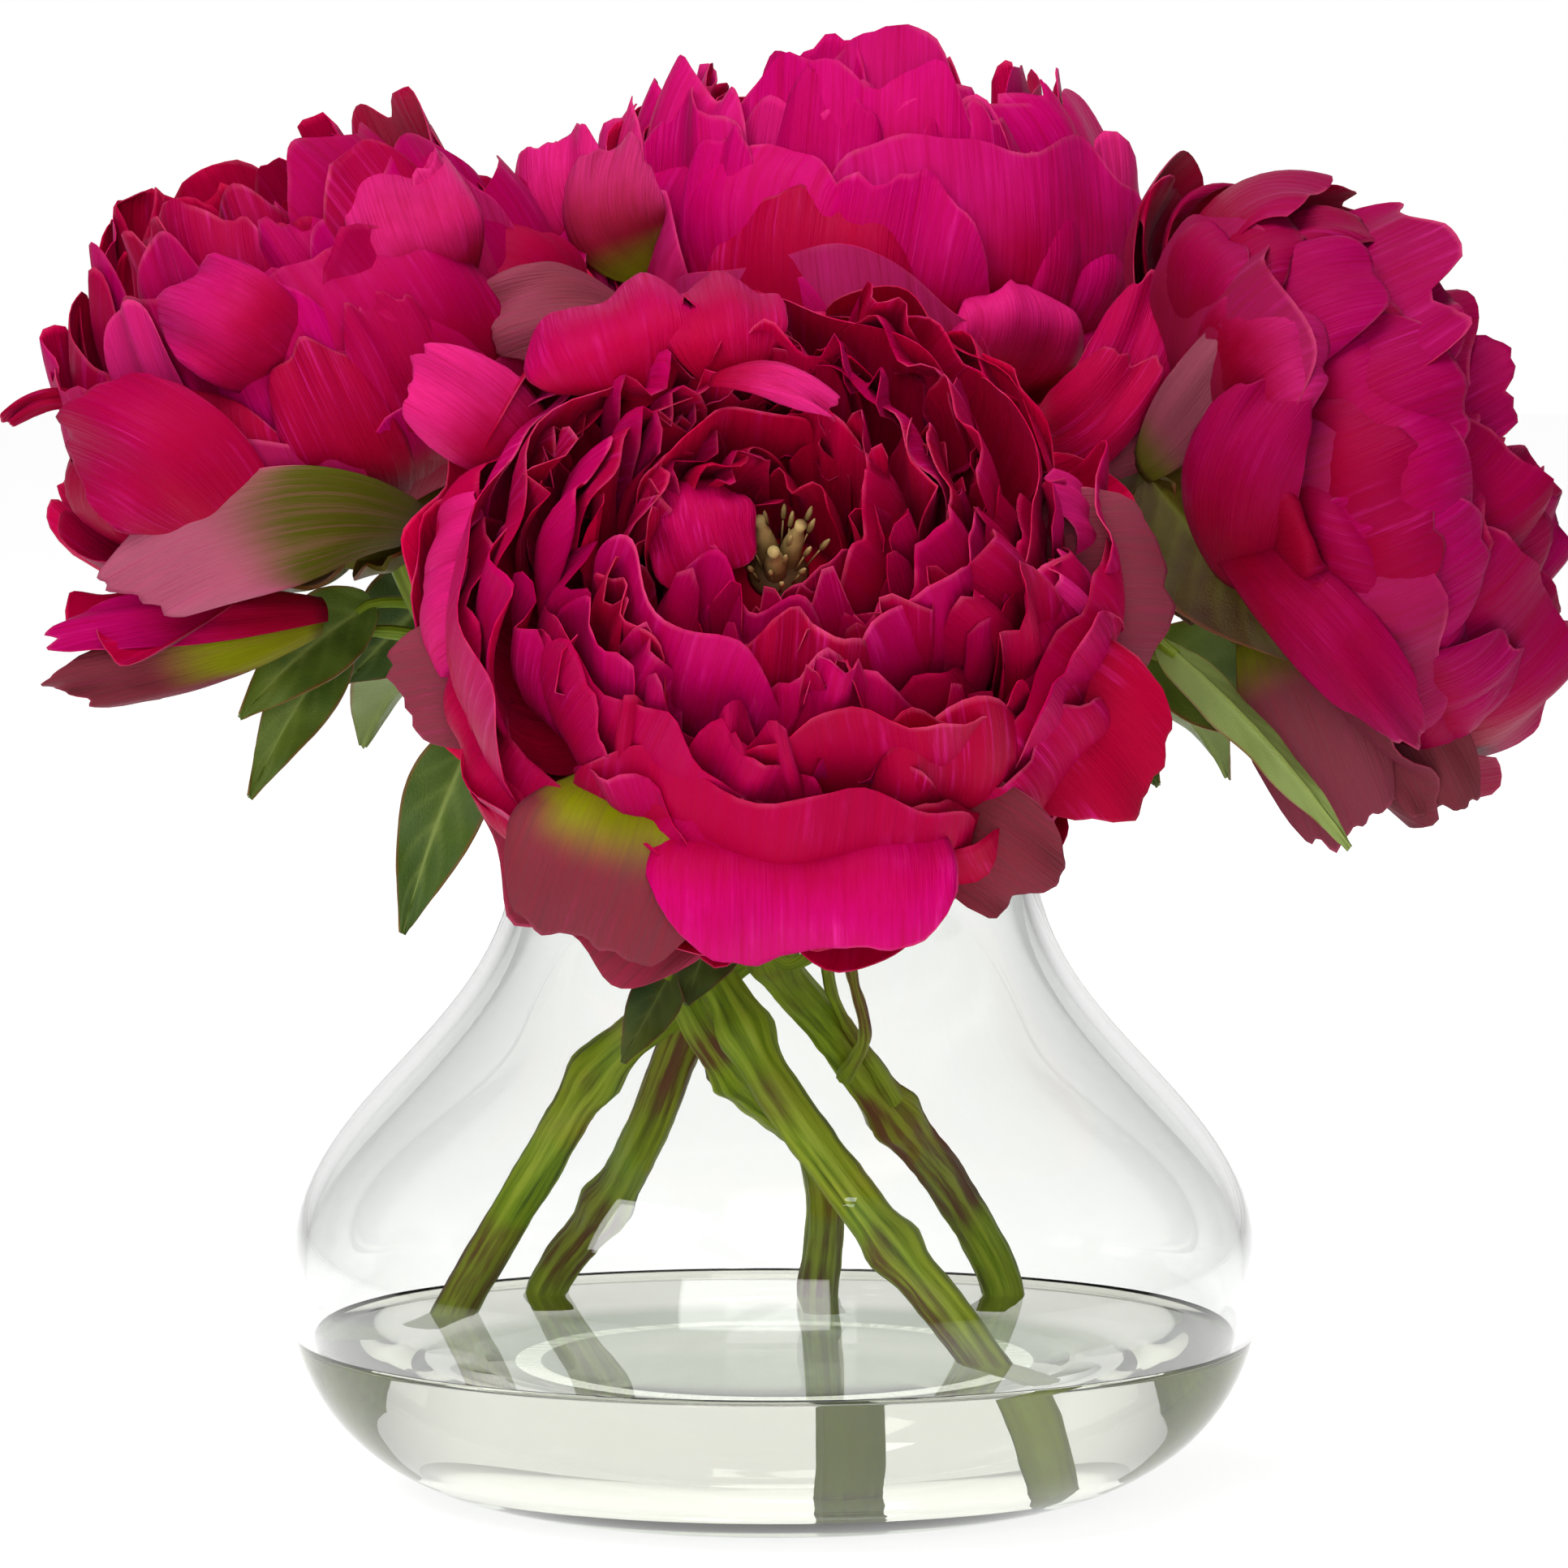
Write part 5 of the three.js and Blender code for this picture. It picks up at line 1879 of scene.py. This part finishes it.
FRONT_BLOOM = Bloom(
    name="front", base=(0, -46, 128), axis=(0.02, -0.84, 0.54),
    radius=46, height=52, turn=0.2, seed=11,
    hues=(0, 0.52), frills=80, dense=True, depth=1.1,
    loose=(
        LoosePetal((-0.8, -0.3, -1), reach=53, rise=4, hue=0.9),
        LoosePetal((0.1, -0.5, -1), reach=51, rise=10, hue=0.42, claw=0),
        LoosePetal((1, 0, 0.15), reach=54, rise=2, hue=0.85, claw=0),
        LoosePetal((-1, 0, 0.25), reach=50, rise=8, hue=0.2, claw=0),
    ),
    placed=(
        RimPetal((7.7, -92.2, 147.9), width=12, hue=0.35, curl=0),
        RimPetal((-46.1, -71.8, 155.8), width=9, hue=0.9, curl=4),
        RimPetal((-47.6, -76.5, 146.6), width=8, hue=0.9, curl=4),
        RimPetal((42.9, -74.8, 160.6), width=7, hue=0.9, curl=4),
        RimPetal((43.1, -84.8, 148.1), width=7, hue=0.9, curl=4),
        RimPetal((-6.2, -79, 175), width=12, hue=0.6, curl=3),
    ),
    curled=(
        CurledPetal((-10.6, -86, 151.9), (-0.2, -0.9, 0.4), width=8.2, height=8.6, dome=4.6, hue=0.35, tilt=0.3),
    ),
    laid=(
        LaidPetal((-31.4, -52, 127.5), (-42.7, -68, 131.4), (-54.7, -62, 128.1), (-0.5, -0.85, 0), 10, 0.2, mauve=0.7),
        LaidPetal((-17.9, -74, 121.2), (-21.7, -106, 111), (-27.7, -92, 93.7), (-0.2, -0.97, -0.1),
                  15.5, 0, mauve=0.6, claw=0.95, dome=1),
        LaidPetal((3.7, -76, 118.5), (4.2, -112, 107.5), (4, -97, 92.4), (0, -1, -0.1), 22, 0.68, dome=0.5),
        LaidPetal((34, -56, 137.3), (44.7, -72, 142.3), (56.4, -60, 140.5), (0.3, -0.95, 0.05), 17, 0.3, mauve=0.7),
        LaidPetal((24.4, -64, 130.6), (42.5, -84, 128.3), (52.2, -76, 113.2), (0.25, -0.95, -0.1), 14, 0, dome=1),
        LaidPetal((20.6, -80, 114.7), (30.7, -94, 108.2), (38.6, -84, 101.4), (0.15, -0.97, -0.2),
                  9, 0, mauve=0.45, dome=1),
        LaidPetal((-32.7, -48, 157.2), (-41.7, -64, 169.1), (-52.8, -58, 174), (-0.35, -0.9, 0.25), 8, 0.95),
        LaidPetal((-8.5, -82, 173.6), (0.8, -93, 176), (8.9, -90, 169.2), (0, -0.8, 0.6), 3.4, 1, dome=1),
        LaidPetal((-20.9, -70, 171), (-23.5, -84, 178.9), (-25.5, -58, 184), (-0.2, -0.85, 0.5), 13, 0.45, dome=3),
        LaidPetal((-5.6, -74, 173.4), (-6.7, -84, 181.2), (-8.1, -58, 186.7), (0, -0.85, 0.5), 9, 0.4, dome=2.5),
    ),
)
LEFT_BLOOM = Bloom(
    name="left", base=(-60, 0, 153), axis=(-0.42, -0.14, 0.9),
    radius=39, height=53, turn=0.5, seed=23,
    hues=(0.1, 0.7), depth=0.95,
    loose=(
        LoosePetal((-46, -19.5, -24.6), reach=53, rise=4, roll=-0.3, width=0.36, claw=0.6),
        LoosePetal((-0.5, 0.9, 0), reach=46, rise=0),
    ),
    placed=(
        RimPetal((-90.1, -41, 170), width=16, hue=0.05, curl=2),
        RimPetal((-78.6, -42, 187.8), width=12, hue=0.75),
        RimPetal((-97.4, -33, 184.4), width=7, hue=0.95, curl=0),
        RimPetal((-53.5, -26.5, 204.7), width=12, hue=1, curl=-2),
        RimPetal((-92.8, -30, 193.1), width=10, hue=0.45),
        RimPetal((-60.5, -43, 186), width=9, hue=0.3),
        RimPetal((-70.5, -46, 178.2), width=9, hue=0.1, curl=2),
    ),
    laid=(
        LaidPetal((-53.7, -34, 150.6), (-71.4, -60, 156.2), (-97.6, -30, 140.1), (-0.05, -0.95, -0.3),
                  9.6, 1, mauve=1, claw=1, dome=1),
        LaidPetal((-68.3, -12, 137.1), (-88.2, -26, 137.8), (-108.2, -24, 133.6), (0, -0.85, 0.4), 4.8, 0.7),
        LaidPetal((-69.1, -10, 135.4), (-88.4, -24, 130.4), (-107.9, -22, 126.1), (0, -0.95, -0.2),
                  5.6, 0, mauve=0.6, claw=0.9),
        LaidPetal((-75.8, -30, 145.6), (-86.6, -62, 162.5), (-103.6, -38, 165.9), (-0.35, -0.93, 0), 12, 0.3, dome=3),
        LaidPetal((-69.1, -30, 171.2), (-77.5, -58, 182), (-89.4, -34, 184.6), (-0.2, -0.95, 0.2), 9, 0.85, dome=2.5),
        LaidPetal((-48.2, -20, 180.8), (-52.2, -54, 194.4), (-56.9, -18, 204.7), (0.1, -0.97, 0.2), 10, 1),
        LaidPetal((-101.7, -18, 167.8), (-109.5, -20, 171.7), (-115.8, -18, 165.5), (-0.1, -0.97, 0.2),
                  1.7, 0, dome=0.4),
    ),
)
TOP_BLOOM = Bloom(
    name="top", base=(13, 43, 163), axis=(0.03, 0.06, 0.99),
    radius=45, height=56, turn=0.9, seed=37,
    hues=(0.6, 1), depth=1.07,
    loose=(
        LoosePetal((-1, -0.2, 0), reach=52, rise=36, hue=0.3, claw=0.4),
        LoosePetal((0.8, -0.7, 0), reach=54, rise=6, claw=0, guard=0),
        LoosePetal((0.1, 1, 0), reach=54, rise=2),
    ),
    placed=(
        RimPetal((5.7, -2.2, 201.4), width=18, hue=0.1, curl=2),
        RimPetal((38.4, -1, 187.9), width=12, hue=0.9, curl=3),
        RimPetal((29.6, 9.2, 214.3), width=13, hue=0.55),
        RimPetal((8.3, 10, 218.7), width=11, hue=0.6),
        RimPetal((-6.8, 7.5, 209.9), width=8, hue=0.75, curl=0),
        RimPetal((-34.1, 40.8, 207.6), width=9, hue=0.9, curl=0),
        RimPetal((-22.3, 30.5, 214.5), width=10, hue=1, curl=0),
        RimPetal((-37, 30, 204), width=9, hue=0.95),
        RimPetal((-30.2, 15, 207), width=9, hue=1),
        RimPetal((-33, 6, 196), width=9, hue=0.7, curl=2),
        RimPetal((47.4, 15.2, 205.5), width=11, hue=0.6),
        RimPetal((62.1, 30.5, 192.8), width=9, hue=0.2, curl=3),
    ),
    laid=(
        LaidPetal((-22.6, 14, 188.4), (-34.2, 2, 194.2), (-33.3, 14, 209), (-0.4, -0.9, 0.2), 9, 0.9),
        LaidPetal((-19.3, 8, 189.1), (-27.1, -6, 194.2), (-23.7, 6, 207.3), (-0.2, -0.95, 0.2),
                  8, 1, mauve=0.2, claw=0.35),
        LaidPetal((-19, -10, 179.4), (-30.6, -38, 185.7), (-42.2, -32, 180.5), (-0.1, -0.9, 0.35), 8, 0.3, mauve=0.75),
        LaidPetal((38.6, -26, 155.2), (47.8, -38, 163.1), (57.8, -32, 166.4), (0.1, -0.97, 0.2), 6, 0.2, mauve=0.7),
        LaidPetal((38.9, -16, 154.8), (54.3, -42, 166.6), (59.5, -22, 188.8), (0.2, -0.95, 0.2), 8.5, 0.3),
        LaidPetal((35.1, -20, 161.1), (45.1, -46, 162), (54, -36, 176.2), (0.1, -0.95, 0.2), 7, 0.15),
    ),
)
RIGHT_BLOOM = Bloom(
    name="right", base=(67.5, -17.5, 149.5), axis=(0.9, 0.04, 0.42),
    radius=44, height=46, turn=0.1, seed=53,
    hues=(0.25, 0.65), depth=0.7,
    loose=(
        LoosePetal((0.4, -0.6, -1), reach=54, rise=12, hue=0.3, claw=0),
        LoosePetal((0.2, 1, -0.3), reach=50, rise=0),
    ),
    placed=(
        RimPetal((76.9, -63.8, 159), width=14, hue=0.05, curl=4),
        RimPetal((80.7, -60, 181.4), width=12, hue=0.95, curl=3),
        RimPetal((100.7, -55, 175.4), width=16, hue=0.5),
        RimPetal((103.8, -59.2, 151.7), width=14, hue=0.7),
        RimPetal((110.8, -48, 133.2), width=10, hue=0.55),
        RimPetal((88.5, -58, 133.8), width=14, hue=0.15, curl=3),
        RimPetal((89.2, -49.8, 189.6), width=12, hue=0.6),
    ),
    laid=(
        LaidPetal((54.6, -36, 159.2), (59.8, -52, 166.9), (69.1, -56, 180.9), (-0.3, -0.95, 0.1),
                  5.6, 0.3, mauve=0.85, claw=0.3, dome=1),
        LaidPetal((69.4, -40, 142.4), (62.6, -72, 158.1), (75.2, -62, 172.2), (-0.3, -0.95, 0), 9, 0.4, dome=3),
        LaidPetal((64.4, -44, 152.3), (80.4, -72, 138.1), (93.2, -56, 121.8), (-0.2, -0.97, 0), 7, 0.45, dome=3),
        LaidPetal((72.4, -30, 136.4), (79.1, -48, 123.6), (85.7, -40, 105), (-0.1, -0.98, -0.1),
                  10, 0.2, mauve=0.7, claw=0.3),
        LaidPetal((85.7, -32, 132.3), (95.4, -46, 121.1), (100.9, -38, 108.9), (0, -0.98, -0.1), 7.5, 0, mauve=0.6),
    ),
)
BLOOMS = (FRONT_BLOOM, LEFT_BLOOM, TOP_BLOOM, RIGHT_BLOOM)
STEMS = (
    Stem(
        name="left",
        knots=((40, -31, 9.5), (32, -31, 24), (13, -27, 48), (0, -22, 65), (-9, -15, 81), (-22, -8, 98),
               (-35, -5, 115), (-48, -2, 129)),
        leaves=(Leaf(0.8, (-45, -21, 119), (-56, -25, 89), width=6.5, droop=8),),
        bloom=LEFT_BLOOM, knobs=(0.22, 0.44, 0.8),
    ),
    Stem(
        name="right",
        knots=((-56, 20, 13), (-50, 22, 26), (-36, 17, 50), (-26, 13, 65), (-12, 12, 76), (2, 10, 88),
               (18, 4, 102), (34, -3, 116)),
        leaves=(
            Leaf(0.86, (57, -46, 134), (84.5, -55, 104.5), width=4, droop=8, face=(-0.35, 0.8, -0.5)),
            Leaf(0.83, (55, -20, 131), (79, -24, 118), width=7.5, droop=7),
            Leaf(0.78, (52, -16, 122), (58, -20, 111), width=3.5, droop=3),
            Leaf(0.81, (52, 16, 127), (72, 42, 108), width=9, droop=16, face=(0.5, 0.6, 0.6)),
        ),
        bloom=RIGHT_BLOOM, knobs=(0.3, 0.5, 0.83),
        sepals=(
            Leaf(0, (55.8, -36, 158), (77.6, -44, 131.2), width=9.5, droop=0, face=(-0.2, -1, 0)),
            Leaf(0, (54, -34, 161.6), (62.5, -34, 136.1), width=7.5, droop=0, face=(-0.2, -1, 0)),
        ),
    ),
    Stem(
        name="top",
        knots=((-35.5, 40.5, 11.5), (-37, 47, 24), (-27, 40, 40), (-20, 30, 53), (-14, 26, 68), (-6, 25, 84),
               (4, 24, 102), (10, 30, 125)),
        leaves=(
            Leaf(0.72, (-14, 52, 128), (-34, 82, 108), width=10, droop=20, face=(-0.3, 0.5, 0.8)),
            Leaf(0.74, (22, 56, 130), (40, 88, 110), width=11, droop=20, face=(0.3, 0.5, 0.8)),
        ),
        bloom=TOP_BLOOM, knobs=(0.2, 0.73),
    ),
    Stem(
        name="front",
        knots=((34, 40.5, 11), (37, 46, 24), (28, 38, 43), (18, 26, 56), (9, 13, 69), (0, -2, 82),
               (-4, -13, 97), (-3, -25, 110)),
        leaves=(Leaf(0.62, (-8, -24, 92), (-13, -28, 78), width=5.5, droop=3, face=(0, -1, 0.1), arch=1),),
        bloom=FRONT_BLOOM, knobs=(0.34, 0.62),
        twigs=(
            ((11, 14, 62), (14, 2, 70), (12, -8, 80), (10, -16, 92)),
            ((19, 20, 58), (9, 4, 76), (8, -10, 90)),
            ((22, -20, 95), (10, -14, 88), (2, -8, 82), (-3, -6, 88)),
        ),
    ),
    Stem(
        name="leafy",
        knots=((8, 42, 8), (7, 44, 24), (8, 36, 43), (5, 26, 52), (-4, 12, 60), (-11, 0, 70), (-18, -1, 84),
               (-26, 7, 99), (-35, 15, 116), (-44, 19, 130)),
        leaves=(
            Leaf(0.94, (-66, 12, 132), (-81, 7, 107), width=5.5, droop=8),
            Leaf(0.97, (-62, 8, 137), (-82, 0, 120), width=6.5, droop=6),
            Leaf(0.99, (-50, 22, 140), (-67, 26, 124), width=8, droop=3, face=(0.2, -1, 0.2)),
            Leaf(0.9, (-50, 28, 128), (-66, 52, 112), width=10, droop=16, face=(-0.6, 0.5, 0.7)),
            Leaf(0.48, (-15, -6, 82), (-23, -10, 67), width=4, droop=1, face=(0, -1, 0.1), arch=1),
        ),
        knobs=(0.48, 0.9),
    ),
)


@dataclass(frozen=True)
class Lamp:
    """A soft square light: where it stands, how wide and strong it is."""

    name: str
    place: Triple
    width: float
    power: float

    def build(self, target: Vector) -> None:
        """Make the lamp.

        Args:
            target: the point that it is turned to.
        """
        data = bpy.data.lights.new(self.name, "AREA")
        data.size = self.width
        data.energy = self.power
        lamp = put(self.name, data)
        lamp.location = self.place
        lamp.rotation_euler = (target - Vector(self.place)).to_track_quat("-Z", "Y").to_euler()


@dataclass(frozen=True)
class Studio:
    """The pale floor, the soft light and the camera. The floor glows, less so to the sides and in front;
    the surroundings are white around the horizon, softer overhead, nearside and at the sides. In metres."""

    target: Triple = (0.0015, 0.0, 0.1097)
    distance: float = 1.2
    elevation: float = math.radians(4.3)
    lens: float = 179.45
    sensor: float = 36.0
    floor_reach: float = 6.0
    floor_glow: float = 0.825
    floor_edge: float = 0.42
    floor_widening: float = 0.1
    floor_fade: Pair = (0.125, 0.3)
    floor_near: Pair = (-0.3, -0.075)
    overhead: float = 0.4
    nearside: float = 0.5
    sides: float = 0.1
    lamps: tuple[Lamp, ...] = (
        Lamp("lamp_key", (-0.7, -0.95, 1.15), 0.6, 8.8),
        Lamp("lamp_top", (0.0, -0.35, 1.4), 0.8, 14.5),
        Lamp("lamp_front", (-0.1, -1.3, 0.2), 0.8, 9.0),
    )

    def build_floor(self) -> None:
        """Make the floor."""
        sheet = ShaderSheet("pale_floor")
        sheet.shade(Base_Color=(0.7, 0.7, 0.7), Roughness=0.9)
        x, y, _ = sheet.axes(sheet.on_object())
        behind = sheet.times(sheet.maths("MAXIMUM", y, 0.0), self.floor_widening)
        aside = sheet.maths("SUBTRACT", sheet.maths("ABSOLUTE", x), behind)
        painted_glow = sheet.span(aside, *self.floor_fade, self.floor_glow, self.floor_edge)
        painted_glow = sheet.times(painted_glow, sheet.span(y, *self.floor_near, 0.7, 1.0))
        sheet.shade(Emission_Color=(1.0, 1.0, 1.0), Emission_Strength=painted_glow)
        mesh = bpy.data.meshes.new("floor")
        reach = self.floor_reach
        corners = [(-reach, -reach, 0), (reach, -reach, 0), (reach, reach, 0), (-reach, reach, 0)]
        mesh.from_pydata(corners, [], [(0, 1, 2, 3)])
        mesh.materials.append(sheet.data)
        put("floor", mesh)

    def build_world(self) -> None:
        """Make the white surroundings: bright around the horizon, softer overhead."""
        sheet = ShaderSheet("white_room", world=True)
        x, y, z = sheet.axes(sheet.nodes.new("ShaderNodeTexCoord").outputs["Generated"])
        above, near = sheet.span(z, 0.16, 0.5, 1.0, self.overhead), sheet.span(y, 0.45, 0.95, self.nearside, 1.0)
        side = sheet.span(sheet.maths("ABSOLUTE", x), 0.3, 0.8, 1.0, self.sides)
        sheet.shade(Color=(1.0, 1.0, 1.0), Strength=sheet.times(sheet.times(above, near), side))
        bpy.context.scene.world = sheet.data

    def build_camera(self) -> None:
        """Set the camera at the photograph's angle."""
        data = bpy.data.cameras.new("camera")
        data.lens = self.lens
        data.sensor_width = self.sensor
        data.sensor_fit = "HORIZONTAL"
        data.clip_end = 50.0
        camera = put("camera", data)
        target = Vector(self.target)
        away = Vector((0, -math.cos(self.elevation), math.sin(self.elevation)))
        camera.location = target + self.distance * away
        camera.rotation_euler = (-away).to_track_quat("-Z", "Y").to_euler()
        bpy.context.scene.camera = camera

    def build(self) -> None:
        """Make the floor, the surroundings, the lamps and the camera."""
        self.build_floor()
        self.build_world()
        for lamp in self.lamps:
            lamp.build(Vector(self.target))
        self.build_camera()
        bpy.context.scene.view_settings.view_transform = "Standard"


def main() -> None:
    """Build the arrangement and its studio in order."""
    logging.basicConfig(level=logging.INFO, format="%(name)s: %(message)s")
    Studio().build()
    vase = Vase()
    vase.build(GlassFinish().build())
    Water().build(vase, WaterFinish().build())
    tuft = StamenTuft(HeartFinish().build())
    for bloom in BLOOMS:
        # Each bloom's depth paints the light and shade that falls on it into its petals' colours.
        silk_painted_sheen = PetalFinish("petal_silk_" + bloom.name, bloom.depth).build()
        bloom.build_petals(silk_painted_sheen)
        bloom.build_frills(silk_painted_sheen)
        bloom.build_heart(tuft)
    stalks = StalkTree(StemFinish().build())
    greens = LeafFinish().build()
    olive = LeafFinish(
        name="calyx_olive",
        above=(0.085, 0.075, 0.003),
        dark=(0.045, 0.014, 0.004),
        below=(0.09, 0.075, 0.006),
        vein=(0.14, 0.14, 0.012),
    ).build()
    for stem in STEMS:
        stem.build(stalks, greens, olive)


if __name__ == "__main__":
    main()
